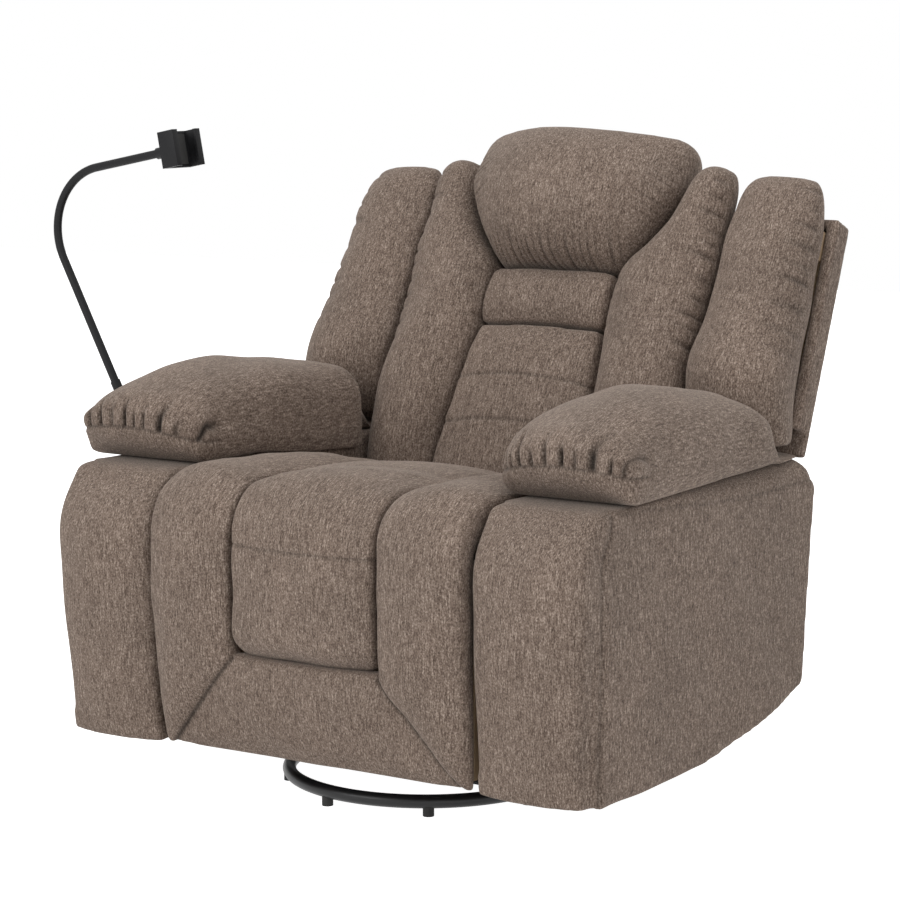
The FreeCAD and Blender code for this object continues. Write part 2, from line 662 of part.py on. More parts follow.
def chaise_pads():
    half = v("centre_half")
    inner = half + v("channel_gap")
    outer = v("arm_in") - v("side_gap")
    sides("seat_channel", seat_channel(inner, outer))
    node("seat_centre", seat_channel(-half, half))
    low, mitre, top = v("footrest_low"), v("mitre_top"), v("bend_z")
    heights = [low + (mitre - low) * share for share in (1.0, 0.75, 0.5, 0.25, 0.0)]
    straight = [(top - (top - mitre) * share, inner, outer, 1.0) for share in (0.33, 0.67, 1.0)]
    mitred = [(z, mitre_x(z), outer, 1.0) for z in heights[1:]]
    sides("footrest_channel", footrest_channel(straight, mitred))
    bottom = v("middle_low")
    shoulder = bottom + (top - bottom) * 0.22
    middle = [(top - (top - shoulder) * share, -half, half, 1.0) for share in (0.33, 0.67, 1.0)]
    rounded = [(shoulder - (shoulder - bottom) * share, -half * width, half * width, depth)
               for share, width, depth in
               ((0.35, 0.99, 0.95), (0.7, 0.95, 0.8), (1.0, 0.84, 0.5))]
    node("footrest_centre", footrest_channel(middle, rounded))
    panel = []
    for z in heights:
        edge = mitre_x(z) - v("channel_gap") * 0.6
        panel.append((z - v("channel_gap") * (z == mitre), -edge, edge, 0.96))
    node("footrest_lower_panel", formed(lofted(front_sections(panel))))


# Arms

def arm_front_pad():
    low, high = v("arm_in") + TUCK / 2, v("arm_out") - TUCK / 2
    base = v("arm_front") + 2 * v("face_gap")
    bow_z, foot = v("arm_bow_height"), v("floor_gap") + TUCK
    heights = [foot + (bow_z - foot) * share for share in (0, 0.14, 0.3, 0.56, 0.84)]
    sections = []
    for z in heights:
        rise = face_back(z, v("arm_front") + v("arm_bow"), v("arm_taper"), bow_z) - base
        sections.append((z, rise))
    for share in (0.1, 0.56, 0.8, 0.95):
        sections.append((bow_z + (v("arm_height") - bow_z) * share, v("arm_bow") * (1 - share ** 1.6)))
    wires = [crowned(lambda x, d, z=z: Vector(x, -base - d, z), low, high, rise, rise * 0.3,
                     min(TUCK, rise * 0.3)) for z, rise in sections]
    return formed(lofted(wires))


def arm_cover():
    """The upholstered box of an arm: its side outline with a rising underside, hollow from below."""
    front, rear_low, rear_high = -v("arm_front"), v("arm_rear_low"), v("arm_rear_high")
    top, low, lift = v("arm_height"), v("floor_gap"), v("arm_rear_lift")
    flat = v("arm_flat_end")

    def point(y, z):
        return Vector(v("arm_in"), y, z)

    corners = [point(rear_low, low + lift), point(rear_high, top - v("arm_rear_drop")),
               point(v("arm_rear_slope"), top), point(front, top), point(front, low), point(flat, low)]
    edges = [Part.LineSegment(a, b).toShape() for a, b in zip(corners, corners[1:])]
    bow = point((flat + rear_low) / 2, low + lift * 0.36)
    edges.append(Part.Arc(corners[-1], bow, corners[0]).toShape())
    width = v("arm_out") - v("arm_in")
    solid = Part.Face(Part.Wire(edges)).extrude(Vector(width, 0, 0))
    skin = v("cover_thick")
    hollow = Part.makeBox(width - 2 * skin, rear_low - skin - front, top - skin,
                          Vector(v("arm_in") + skin, front, 0))
    return formed(solid.cut(hollow))


def arm_frame():
    skin, wall = "cover_thick", "board_thick"
    foot = "(floor_gap + arm_rear_lift + 8)"
    outer = box((f"arm_in + {skin}", "-arm_front", foot),
                (f"arm_out - arm_in - 2 * {skin}", f"arm_front + arm_rear_low - {skin}",
                 f"arm_height - {skin} - {foot}"))
    inner = box((f"arm_in + {skin} + {wall}", f"{wall} - arm_front", foot),
                (f"arm_out - arm_in - 2 * {skin} - 2 * {wall}",
                 f"arm_front + arm_rear_low - {skin} - 2 * {wall}",
                 f"arm_height - {skin} - {wall} - {foot}"))
    return cut(outer, inner)


def arm_pillow():
    """A crowned pillow along the arm top: an overhanging nose, a full middle, its tail low under the wing.

    Stations are (share of the length, inset as a share of the width, lift and top as shares of the height).
    """
    low, high = v("arm_in"), v("arm_out") + v("pillow_side")
    nose, rear, tall = -v("pillow_nose"), v("pillow_rear"), v("pillow_height")
    nose_run = ((0.0, 0.06, 0.36, 0.61), (0.035, 0.025, 0.25, 0.74), (0.071, 0.012, 0.125, 0.80),
                (0.106, 0.008, 0.0, 0.84))
    middle_run = ((0.106, 0.008, 0.0, 0.84), (0.223, 0.005, 0.0, 0.955), (0.34, 0.0, 0.0, 0.995),
                  (0.458, 0.0, 0.0, 0.985), (0.575, 0.01, 0.0, 0.915), (0.693, 0.02, 0.0, 0.82),
                  (0.81, 0.04, 0.0, 0.57))
    tail = v("tail_height") / tall
    fall_run = ((0.81, 0.04, 0.0, 0.57), (0.832, 0.045, 0.0, (0.57 + tail) / 2), (0.854, 0.05, 0.0, tail))
    tail_run = ((0.854, 0.05, 0.0, tail), (0.902, 0.06, 0.0, tail), (0.951, 0.07, 0.0, 0.96 * tail),
                (1.0, 0.09, 0.0, 0.75 * tail))
    runs = []
    for stations in (nose_run, middle_run, fall_run, tail_run):
        wires = []
        for share, inset, lift, height in stations:
            y = nose + (rear - nose) * share
            side = inset * (high - low)
            base = v("arm_height") + v("face_gap") + lift * tall
            rise = (height - lift) * tall - v("face_gap")
            outer = high - side - v("pillow_draw") * share
            wires.append(crowned(lambda x, d, y=y, base=base: Vector(x, y, base + d), low + side, outer,
                                 rise, rise * 0.5, min(2.5 * TUCK, rise * 0.3)))
        runs.append(wires)
    return formed(lofted_runs(runs))


def arms():
    sides("arm_front_pad", arm_front_pad())
    sides("arm_pillow", arm_pillow())
    passage = rod("shaft_radius + face_gap", "arm_out - arm_in", ("-arm_out", "lever_y", "lever_z"))
    cover, frame = arm_cover(), arm_frame()
    node("arm_cover_left", cover)
    node("arm_frame_left", frame)
    node("arm_cover_right", cut(mirrored(cover), passage))
    node("arm_frame_right", cut(mirrored(frame), passage))


# Back, in its own upright frame with the recline pivot at the origin and the front towards -Y

def leaning(piece):
    turned(piece, Vector(-1, 0, 0), "back_tilt")
    return at(piece, ("0", "recline_y", "recline_z"))


def back_box(low_x, high_x, rear, front, low, high):
    return box((low_x, f"-({front})", low),
               (f"{high_x} - ({low_x})", f"{front} - ({rear})", f"{high} - ({low})"))


def back_sections(stations, crown, tuck):
    """Sections of a pad on the back.

    Stations are (height, low x, high x, face, base), face and base measured forward from the pivot plane.
    """
    return [crowned(lambda x, d, s=s, base=base: Vector(x, -base - d, s), low, high, face - base,
                    (face - base) * crown, tuck) for s, low, high, face, base in stations]


def back_pad(stations, crown, tuck=TUCK):
    """A pad that lies on the back's rails, from stations of (height, low x, high x, share of the depth)."""
    full = [(s, low, high, face * v("back_depth"), v("pad_base")) for s, low, high, face in stations]
    return lofted(back_sections(full, crown, tuck))


def head_half(height):
    """Half width of the head pillow at a height: narrow at its bottom, widest near its top."""
    share = (height - v("head_low")) / (v("head_top") - v("head_low"))
    narrow = v("lumbar_half")
    full = min(1.0, share / 0.6) ** 0.8
    close = max(0.0, (share - 0.84) / 0.16) ** 2
    return narrow + (v("head_half") - narrow) * full - v("head_corner") * close


def lumbar_edge(height):
    """Half width of the lumbar column at a height: it flares towards the seat."""
    share = max(0.0, (v("lumbar_join") - height) / (v("lumbar_join") - v("back_low")))
    return v("lumbar_half") + v("lumbar_flare") * share


def back_frame():
    post = back_box("post_inner", "post_out", "post_rear", "post_front", "-post_tail", "back_top")
    wing_post = back_box("shell_half - wing_post_in", "shell_half - wing_post_out", "post_rear",
                         "post_front", "wing_clear + 2 * sweep_gap", "back_top")
    node("back_posts", leaning(grouped(post, wing_post, mirrored(post), mirrored(wing_post))))
    rails = []
    wide = "(shell_half - wing_post_out)"
    for half, low in (("post_out", "back_low + rail_lift"), (wide, "wing_clear + 3 * sweep_gap"),
                      ("post_out", "lumbar_join + middle_rail"), (wide, "back_top - back_rail_height")):
        rails.append(back_box(f"-{half}", half, "post_front", "post_front + back_rail", low,
                              f"{low} + back_rail_height"))
    node("back_rails", leaning(grouped(*rails)))
    ear = back_box("post_out", "post_out + bracket_thick", "-ear_rear", "post_front", "-ear_low", "ear_high")
    strap = back_box("post_out", "post_out + bracket_thick", "post_rear + face_gap", "post_front", "ear_high",
                     "back_low + strap_lap")
    pivot = rod("recline_pin + pin_gap", "3 * bracket_thick", ("post_out - bracket_thick", "0", "0"))
    node("back_brackets", leaning(pair(cut(fused(ear, strap), pivot))))
    panel = back_box("-shell_half", "shell_half", "panel_rear", "post_rear", "arm_clear + sweep_gap",
                     "shell_top")
    tail_half = "(arm_in - 3 * sweep_gap)"
    tail = back_box(f"-{tail_half}", tail_half, "panel_rear", "post_rear", "panel_low",
                    "arm_clear + sweep_gap")
    cheek = back_box("shell_half - cheek_thick", "shell_half", "post_rear", "pad_base - face_gap",
                     "arm_clear + sweep_gap", "shell_top")
    sweep = rod("wing_clear", "2 * shell_half", ("0", "0", "0"))
    cheek = cut(cheek, sweep)
    cap = back_box("-shell_half", "shell_half", "post_rear", "pad_base - face_gap",
                   "shell_top - cap_thick", "shell_top")
    node("rear_shell", leaning(fused(panel, tail, cheek, mirrored(cheek), cap)))


def back_pads():
    low, join, head = v("back_low"), v("lumbar_join"), v("head_low")
    gap = v("channel_gap")
    channels = ((0.0, 0.85), (0.17, 0.9), (0.33, 0.905), (0.5, 0.9), (0.67, 0.885), (0.83, 0.86),
                (1.0, 0.77))
    stations = []
    for share, face in channels:
        s = low + (join - low) * share
        stations.append((s, -lumbar_edge(s), lumbar_edge(s), face))
    node("lumbar_lower", leaning(formed(back_pad(stations, 0.14))))
    half = v("lumbar_half")
    band = [(join + gap + (head - gap - join - gap) * share, -half, half, face)
            for share, face in ((0.0, 0.765), (0.25, 0.815), (0.75, 0.805), (1.0, 0.74))]
    node("lumbar_upper", leaning(formed(back_pad(band, 0.14))))
    node("head_pillow", leaning(formed(head_pillow())))
    bolster = []
    edge = v("arm_in") - v("side_gap")
    top = v("bolster_top")
    for share, face, inset in ((0.0, 0.86, 0.4), (0.12, 0.97, 0), (0.3, 1.0, 0), (0.48, 0.93, 0),
                               (0.64, 0.86, 0), (0.78, 0.79, 0), (0.9, 0.72, 0.2), (0.97, 0.64, 0.9),
                               (1.0, 0.52, 3)):
        s = low + (top - low) * share
        inner = lumbar_edge(s) if s < head else max(v("lumbar_half"), head_half(s))
        bolster.append((s, inner + 1.75 * gap + inset * TUCK, edge - inset * TUCK, face))
    for side, shape in zip(LEFT_RIGHT, twins(back_pad(bolster, 0.3, tuck=2 * TUCK))):
        node("bolster_" + side, leaning(formed(shape)))
    wing = []
    low, top = v("wing_clear") - v("wing_skirt"), v("wing_top")
    inner, outer = v("arm_in") + v("channel_gap") / 2, v("shell_half") - v("face_gap")
    for share, face, inset in ((0.0, 0.67, 0.8), (0.08, 0.84, 0.2), (0.18, 0.94, 0), (0.4, 0.85, 0),
                               (0.64, 0.73, 0), (0.85, 0.63, 0.6), (0.95, 0.54, 2.4), (1.0, 0.42, 6)):
        wing.append((low + (top - low) * share, inner + inset * TUCK,
                     outer - v("wing_draw") * share - inset * TUCK, face))
    swing = Part.makeCylinder(v("wing_clear"), 4 * outer, Vector(-2 * outer, 0, 0), Vector(1, 0, 0))
    shape = back_pad(wing, 0.3, tuck=2 * TUCK).cut(swing)
    for side, half_shape in zip(LEFT_RIGHT, twins(shape)):
        node("wing_" + side, leaning(formed(half_shape)))


def head_pillow():
    """A pillow on the back's top that also lies over the shell's upper edge."""
    low, top, depth = v("head_low"), v("head_top"), v("back_depth")
    over = (v("shell_top") + v("channel_gap") - low) / (top - low)
    pad, rear = v("pad_base"), v("head_rear")
    hem = ((0.01, 0.75, pad), (0.04, 0.86, pad), (0.07, 0.94, pad))
    face = ((0.07, 0.94, pad), (0.07 + (over - 0.07) / 3, 1.07, pad), (over - (over - 0.07) / 3, 1.11, pad),
            (over, 1.10, pad))
    crest = ((over, 1.10, pad), (over + (1 - over) / 4, 1.07, (pad + rear) / 2),
             ((over + 1) / 2, 1.02, rear), (1 - (1 - over) / 4, 0.93, rear), (1.0, 0.74, (pad + rear) / 2))
    runs = []
    for stations in (hem, face, crest):
        full = []
        for share, reach, base in stations:
            s = low + (top - low) * share
            full.append((s, -head_half(s), head_half(s), reach * depth, base))
        runs.append(back_sections(full, 0.42, 3 * TUCK))
    return lofted_runs(runs)


def twins(shape):
    return shape, shape.mirror(Vector(), Vector(1, 0, 0))


# Footrest board, brackets and linkage

def link(layer, start, angle, reach, holes=(), pins=()):
    """A flat bar from its start pivot along an angle below the rearward horizontal.

    Holes are (distance, radius); pins are (distance, radius) and stand inwards through the next layer.
    """
    half = "link_width / 2"
    bar = box(("0", "0", f"-{half}"), ("link_thick", reach, "link_width"))
    ends = [rod(half, "link_thick", ("0", spot, "0")) for spot in ("0", reach)]
    studs = [rod(radius, "link_thick + layer_gap", ("-link_thick - layer_gap", spot, "0"))
             for spot, radius in pins]
    solid = fused(bar, *ends, *studs)
    if holes:
        solid = cut(solid, *[rod(radius, "link_thick", ("0", spot, "0")) for spot, radius in holes])
    turned(solid, Vector(-1, 0, 0), angle)
    return at(solid, (layer,) + start)


def footrest():
    half = "(arm_in - side_gap - 6)"
    node("footrest_board", box((f"-{half}", "-board_face", "board_low"),
                               (f"2 * {half}", "footrest_board", "board_high - board_low")))
    low, tall = "lower_z - link_width / 2 - 2", "upper_z - lower_z + link_width + 4"
    lug = box(("lug_in", "-board_back", low), ("link_thick", "lower_y + link_width / 2 + board_back", tall))
    flange = box(("lug_in - 34", "-board_back", low), ("34", "link_thick", tall))
    studs = [rod("pin_radius", "link_thick + layer_gap",
                 ("coupler_in - layer_gap", spot + "_y", spot + "_z"))
             for spot in ("upper", "lower")]
    node("footrest_brackets", pair(fused(lug, flange, *studs)))
    loose = "pin_radius + pin_gap"
    tube = rod("drive_radius", "2 * plate_out", ("-plate_out", "drive_y", "drive_z"))
    node("drive_tube", tube)
    lean = "90 - link_lean"
    drive = link("crank_in", ("drive_y", "drive_z"), lean, "link_long", [("0", "drive_radius")],
                 [("link_short", "pin_radius"), ("link_long", "pin_radius")])
    hub = rod("drive_radius + 5", "link_thick", ("crank_in", "drive_y", "drive_z"))
    bore = rod("drive_radius", "link_thick", ("crank_in", "drive_y", "drive_z"))
    node("drive_cranks", pair(cut(fused(drive, hub), bore)))
    rear = link("crank_in", ("rear_y", "rear_z"), lean, "link_short", [("0", loose)],
                [("link_short", "pin_radius")])
    node("rear_cranks", pair(rear))
    upper = link("coupler_in", ("upper_y", "upper_z"), "base_fall", "base_reach + base_spacing",
                 [(spot, loose) for spot in ("0", "base_reach", "base_reach + base_spacing")])
    node("upper_couplers", pair(upper))
    lower = link("coupler_in", ("lower_y", "lower_z"), "base_fall", "base_reach",
                 [(spot, loose) for spot in ("0", "base_reach")])
    node("lower_couplers", pair(lower))


# Release lever on the sitter's right arm

def release_lever():
    bezel = box(("-arm_out - bezel_thick", "lever_y - 40", "lever_z - 28"), ("bezel_thick", "70", "56"))
    hole = rod("shaft_radius + face_gap", "bezel_thick", ("-arm_out - bezel_thick", "lever_y", "lever_z"))
    node("lever_bezel", cut(bezel, hole))
    start = "-arm_out - bezel_thick - face_gap - lever_thick"
    hub = rod("0.62 * lever_width", "lever_thick", (start, "lever_y", "lever_z"))
    grip = box((start, "lever_y - lever_length", "lever_z - lever_width / 2"),
               ("lever_thick", "lever_length", "lever_width"))
    tip = rod("lever_width / 2", "lever_thick", (start, "lever_y - lever_length", "lever_z"))
    socket = rod("shaft_radius", "lever_thick / 2", (f"{start} + lever_thick / 2", "lever_y", "lever_z"))
    node("release_lever", cut(fused(hub, grip, tip), socket))
    reach = "arm_out + bezel_thick + face_gap + lever_thick / 2 - plate_in + 3"
    node("lever_shaft", rod("shaft_radius", reach, (f"{start} + lever_thick / 2", "lever_y", "lever_z")))


# Gooseneck and phone clamp

def on_neck(piece, along):
    """Place a piece that stands along +Z on the gooseneck's lower line, a distance from its root."""
    turned(piece, Vector(0, -1, 0), "neck_lean")
    return at(piece, (f"neck_x - {along} * sin(neck_lean)", "-neck_forward",
                      f"neck_root + {along} * cos(neck_lean)"))


def neck_rod(radius, length, along):
    piece = doc.addObject("Part::Cylinder", "rod")
    bind(piece, Radius=radius, Height=length)
    return on_neck(piece, along)


def gooseneck():
    plate = box(("-arm_out - bezel_thick", "-neck_forward - 24", "neck_root - 62"),
                ("bezel_thick", "48", "77"))
    rib = box(("neck_x - 4", "-neck_forward - 4", "neck_root - 34"),
              ("neck_out + 4 - bezel_thick", "8", "42"))
    boss = neck_rod("neck_radius + socket_wall", "socket_depth", "0")
    bore = neck_rod("neck_radius + pin_gap", "socket_depth", "5")
    node("neck_socket", cut(fused(plate, rib, boss), bore))
    node("gooseneck", formed(neck_tube()))
    sleeve = neck_rod("neck_radius + 1.5", "ferrule_length", "(socket_depth + face_gap)")
    core = neck_rod("neck_radius", "ferrule_length", "(socket_depth + face_gap)")
    node("neck_ferrule", cut(sleeve, core))


def neck_tube():
    lean, tilt = math.radians(v("neck_lean")), math.radians(v("run_tilt"))
    up = Vector(-math.sin(lean), 0, math.cos(lean))
    out = Vector(math.cos(tilt), 0, math.sin(tilt))
    y = -v("neck_forward")
    root = Vector(v("neck_x"), y, v("neck_root"))
    corner = Vector(v("neck_corner_x"), y, v("neck_corner_z"))
    turn = math.acos(up.dot(out))
    trim = v("neck_bend") * math.tan(turn / 2)
    first, last = corner - up * trim, corner + out * trim
    bisector = out - up
    bisector.normalize()
    middle = corner + bisector * (v("neck_bend") / math.cos(turn / 2) - v("neck_bend"))
    start = root + up * (5 + v("face_gap"))
    end = Vector(v("clamp_x"), y, v("clamp_z")) + out * 5
    edges = [Part.LineSegment(start, first).toShape(), Part.Arc(first, middle, last).toShape(),
             Part.LineSegment(last, end).toShape()]
    return tube_along(edges, v("neck_radius"))


def on_clamp(piece):
    """Place a clamp piece: +X along the end run of the gooseneck, from the end of its boss."""
    turned(piece, Vector(0, -1, 0), "run_tilt")
    return at(piece, ("clamp_x", "-neck_forward", "clamp_z"))


def phone_clamp():
    half, tall = "clamp_width / 2", "clamp_height"
    plate = box(("12", f"-{half}", f"-{tall} / 2"), ("clamp_plate", "clamp_width", tall))
    boss = rod("neck_radius + 3.5", "18", ("-6", "0", "0"))
    collar = rod("neck_radius + 2.5", "16", ("-22", "0", "0"))
    arm = box(("12", half, f"-{tall} / 2"), ("clamp_plate + jaw_reach", "jaw_thick", tall))
    lip = box(("12 + clamp_plate + jaw_reach - 5", f"{half} - 5", f"-{tall} / 2"),
              ("5", "5 + jaw_thick", tall))
    bore = rod("neck_radius + pin_gap", "27.3", ("-22", "0", "0"))
    slides = [rod("rod_radius + pin_gap", "clamp_width + 1", ("12 + clamp_plate / 2", f"-{half} - 1",
              f"{side} * rod_spread"), "Y") for side in ("-1", "1")]
    node("clamp_body", on_clamp(cut(fused(plate, boss, collar, arm, lip), bore, *slides)))
    jaw = box(("12", f"-{half} - face_gap - jaw_thick", f"-{tall} / 2"),
              ("clamp_plate + jaw_reach", "jaw_thick", tall))
    hook = box(("12 + clamp_plate + jaw_reach - 5", f"-{half} - face_gap - jaw_thick", f"-{tall} / 2"),
               ("5", "5 + jaw_thick", tall))
    rods = [rod("rod_radius", "clamp_width - 4", ("12 + clamp_plate / 2", f"-{half} - jaw_thick / 2",
            f"{side} * rod_spread"), "Y") for side in ("-1", "1")]
    node("clamp_jaw", on_clamp(fused(jaw, hook, *rods)))
    pad = box(("12 + clamp_plate", f"6 - {half}", f"5 - {tall} / 2"),
              ("1.5", "clamp_width - 12", "clamp_height - 10"))
    node("clamp_pad", on_clamp(grouped(pad)))


def finish():
    doc.recompute()
    failed = [piece.Label for piece in doc.Objects if {"Invalid", "Error"} & set(piece.State)]
    if failed:
        raise SystemExit(f"not built: {failed}")
    for name, piece in NODES.items():
        if piece.Shape.isNull() or not piece.Shape.isValid() or not piece.Shape.Solids:
            raise SystemExit(f"bad shape: {name}")
    os.makedirs("parts", exist_ok=True)
    for name, piece in NODES.items():
        piece.Shape.exportStep(f"parts/{name}.step")
        print(f"{name}: {len(piece.Shape.Solids)} solids, {piece.Shape.Volume / 1000:.1f} cm3")


ring_base()
platform()
chair_frame()
chaise_pads()
arms()
back_frame()
back_pads()
footrest()
release_lever()
gooseneck()
phone_clamp()
finish()
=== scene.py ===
import json
import math

import bmesh
import bpy
import numpy as np
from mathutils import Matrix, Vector


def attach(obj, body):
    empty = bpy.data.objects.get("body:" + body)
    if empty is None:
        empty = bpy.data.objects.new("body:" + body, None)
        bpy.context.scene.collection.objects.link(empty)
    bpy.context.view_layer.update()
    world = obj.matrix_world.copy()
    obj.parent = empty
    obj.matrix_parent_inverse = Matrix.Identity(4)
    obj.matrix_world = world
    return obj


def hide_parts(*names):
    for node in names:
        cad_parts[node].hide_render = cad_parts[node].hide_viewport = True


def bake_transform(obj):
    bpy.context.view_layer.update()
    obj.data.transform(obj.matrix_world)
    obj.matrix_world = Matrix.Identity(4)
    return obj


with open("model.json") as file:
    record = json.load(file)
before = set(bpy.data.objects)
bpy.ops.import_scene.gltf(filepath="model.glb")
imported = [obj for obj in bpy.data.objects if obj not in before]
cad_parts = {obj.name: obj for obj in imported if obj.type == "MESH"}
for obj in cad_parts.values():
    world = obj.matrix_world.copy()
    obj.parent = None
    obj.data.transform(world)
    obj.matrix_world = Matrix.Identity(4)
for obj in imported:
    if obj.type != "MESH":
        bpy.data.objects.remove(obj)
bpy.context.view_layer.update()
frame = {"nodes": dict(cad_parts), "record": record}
NODES = frame["nodes"]

# Places that the upholstery follows, in metres: pivots and bends as y and z, levels as z, and sides as the
# distance from the chair's middle. The back leans about its recline pivot. The chaise pad rolls over the
# seat's front edge about the bend, on which the fold between seat and footrest lies.
BACK_PIVOT = (0.330, 0.300)
BACK_LEAN = math.radians(22.9)
LEVER_PIVOT = (0.060, 0.300)
LEVER_ROOM = (0.20, 0.28)
BEND = (-0.264, 0.434)
BEND_RADIUS = 0.108
FOLD = Vector((0.0, BEND[0] - BEND_RADIUS * math.sqrt(0.5), BEND[1] + BEND_RADIUS * math.sqrt(0.5)))
FOLD_WAY = Vector((0.0, 0.06, 0.06))
CHAISE_FACE = (0.04, 0.07)
CHAISE_STITCH = 0.172
MITRE_SIDE, MITRE_TOP, MITRE_SLOPE = 0.137, 0.248, 0.856
LUMBAR_STITCHES = (0.205, 0.287)
LUMBAR_HALF = 0.14
PILLOW_BEND = (-0.190, 0.575)
PILLOW_BEND_RADIUS = 0.085
PILLOW_CORNER = (0.508, -0.233, 0.530)
PILLOW_CROWN = 0.410
PILLOW_HALF = 0.113
PILLOW_MIDDLE = 0.570
PILLOW_SEAM = 0.583
ARM_TOP = 0.524
ARM_FOOT = 0.083
ARM_OUTER = 0.494
ARM_FRONT_SEAM = -0.287
WING_END = 0.278

# Yarn: noise scales across the cloth, along its grain and into its depth, and the fibres' shades
SLUB = (520.0, 60.0, 300.0)
FIBRE = (560.0, 300.0, 320.0)
HEATHER = (150.0, 22.0, 150.0)
NAP = (13.0, 7.0, 13.0)
FIBRE_SHADES = [(0.31, (0.040, 0.026, 0.019)), (0.445, (0.128, 0.092, 0.072)),
                (0.54, (0.215, 0.163, 0.131)), (0.69, (0.440, 0.360, 0.303))]

# Studio: each lamp's place, size and power, and the camera's place, lens and turn
LAMPS = {"key": ((-1.3, -3.8, 2.4), 2.6, 82), "fill": ((3.4, -2.2, 1.8), 2.6, 42),
         "top": ((0.2, 0.2, 3.6), 2.4, 34)}
LAMP_AIM = Vector((0.0, 0.0, 0.45))
CAMERA_PLACE = (2.4676, -3.7535, 1.1865)
CAMERA_LENS, CAMERA_SENSOR = 112.34, 36.0
CAMERA_AROUND, CAMERA_DOWN = math.radians(32.834), math.radians(8.120)


# Where a point lies in the cloth: across the panel, along its grain, and its depth


def grain_upright(co):
    return np.stack([co[:, 0], co[:, 2], co[:, 1]], axis=1)


def grain_back(co):
    y = co[:, 1] - BACK_PIVOT[0]
    z = co[:, 2] - BACK_PIVOT[1]
    up = y * math.sin(BACK_LEAN) + z * math.cos(BACK_LEAN)
    out = -y * math.cos(BACK_LEAN) + z * math.sin(BACK_LEAN)
    return np.stack([co[:, 0], up, out], axis=1)


def grain_rolled(centre, radius):
    """Cloth that lies flat behind a bend, rolls over it and hangs down in front of it."""

    def grain(co):
        y = co[:, 1] - centre[0]
        z = co[:, 2] - centre[1]
        on_top = y >= 0
        on_front = (z <= 0) & ~on_top
        rolled = np.where(on_front, radius * math.pi / 2 - z, radius * np.arctan2(-y, z))
        along = np.where(on_top, -y, rolled)
        depth = np.where(on_top, z, np.where(on_front, -y, np.hypot(y, z)))
        return np.stack([co[:, 0], along, depth], axis=1)

    return grain


grain_chaise = grain_rolled(BEND, BEND_RADIUS)
grain_pillow = grain_rolled(PILLOW_BEND, PILLOW_BEND_RADIUS)


# Shaping of soft pieces

STUFF_STEPS = 20
SWELL_CAP = 0.0022


def positions(mesh):
    co = np.empty(len(mesh.vertices) * 3)
    mesh.vertices.foreach_get("co", co)
    return co.reshape(-1, 3)


def outward(mesh):
    normals = np.empty(len(mesh.vertices) * 3)
    mesh.vertices.foreach_get("normal", normals)
    return normals.reshape(-1, 3)


def move_to(mesh, co):
    mesh.vertices.foreach_set("co", np.ascontiguousarray(co).ravel())
    mesh.update()


def linked(name, mesh):
    piece = bpy.data.objects.new(name, mesh)
    bpy.context.scene.collection.objects.link(piece)
    return piece


def apply_modifiers(piece):
    graph = bpy.context.evaluated_depsgraph_get()
    mesh = bpy.data.meshes.new_from_object(piece.evaluated_get(graph))
    piece.modifiers.clear()
    old = piece.data
    piece.data = mesh
    bpy.data.meshes.remove(old)


def blank(name, nodes, voxel):
    """The stuffing for a piece: its solids joined and remeshed into even faces."""
    shape = bmesh.new()
    for node in nodes:
        shape.from_mesh(NODES[node].data)
    bmesh.ops.remove_doubles(shape, verts=shape.verts, dist=1e-5)
    mesh = bpy.data.meshes.new(name)
    shape.to_mesh(mesh)
    shape.free()
    piece = linked(name, mesh)
    remesh = piece.modifiers.new("even", "REMESH")
    remesh.mode = "VOXEL"
    remesh.voxel_size = voxel
    apply_modifiers(piece)
    return piece


def relax(piece, times, where=None):
    """Let the corners round off, everywhere or where a test of the positions holds."""
    shape = bmesh.new()
    shape.from_mesh(piece.data)
    shape.verts.ensure_lookup_table()
    chosen = shape.verts[:]
    if where:
        chosen = [shape.verts[index] for index in np.flatnonzero(where(positions(piece.data)))]
    for _ in range(times):
        bmesh.ops.smooth_vert(shape, verts=chosen, factor=0.5, use_axis_x=True, use_axis_y=True,
                              use_axis_z=True)
    shape.to_mesh(piece.data)
    shape.free()
    piece.data.update()


def refine(piece, levels):
    finer = piece.modifiers.new("finer", "SUBSURF")
    finer.levels = levels
    finer.render_levels = levels
    apply_modifiers(piece)


def stuff(piece, slack, cap):
    """Blow the cover up from a slightly smaller shape, as filling does: faces swell, edges draw in.

    Each point ends near the surface of the solid, at most one and a half caps outside it.
    """
    full, normal = positions(piece.data), outward(piece.data)
    start = full - normal * slack
    move_to(piece.data, start)
    cloth = piece.modifiers.new("cover", "CLOTH")
    cloth.settings.quality = 4
    cloth.settings.mass = 0.3
    cloth.settings.tension_stiffness = 12
    cloth.settings.compression_stiffness = 12
    cloth.settings.shear_stiffness = 4
    cloth.settings.bending_stiffness = 0.4
    cloth.settings.use_pressure = True
    cloth.settings.uniform_pressure_force = 4.0
    cloth.settings.effector_weights.gravity = 0
    cloth.collision_settings.use_collision = False
    cloth.point_cache.frame_start = 1
    cloth.point_cache.frame_end = STUFF_STEPS
    for step in range(1, STUFF_STEPS + 1):
        bpy.context.scene.frame_set(step)
    apply_modifiers(piece)
    bpy.context.scene.frame_set(1)
    swell = np.sum((positions(piece.data) - full) * normal, axis=1, keepdims=True)
    move_to(piece.data, full + normal * cap * (0.45 + np.tanh(swell / (4 * cap))))


def groove(distance, width):
    """1 on a seam line, falling to 0 beside it."""
    return np.exp(-(distance / width) ** 2)


def fade(value, start, end):
    """0 at start and beyond, 1 at end and beyond, smooth between."""
    share = np.clip((value - start) / (end - start), 0, 1)
    return share * share * (3 - 2 * share)


def uneven(value, seed):
    """A slow wander between about -1 and 1, for folds that aren't all alike."""
    return (np.sin(value * 1.0 + seed) + np.sin(value * 1.73 + 2.1 * seed) * 0.7
            + np.sin(value * 2.91 + 3.7 * seed) * 0.4) / 1.5


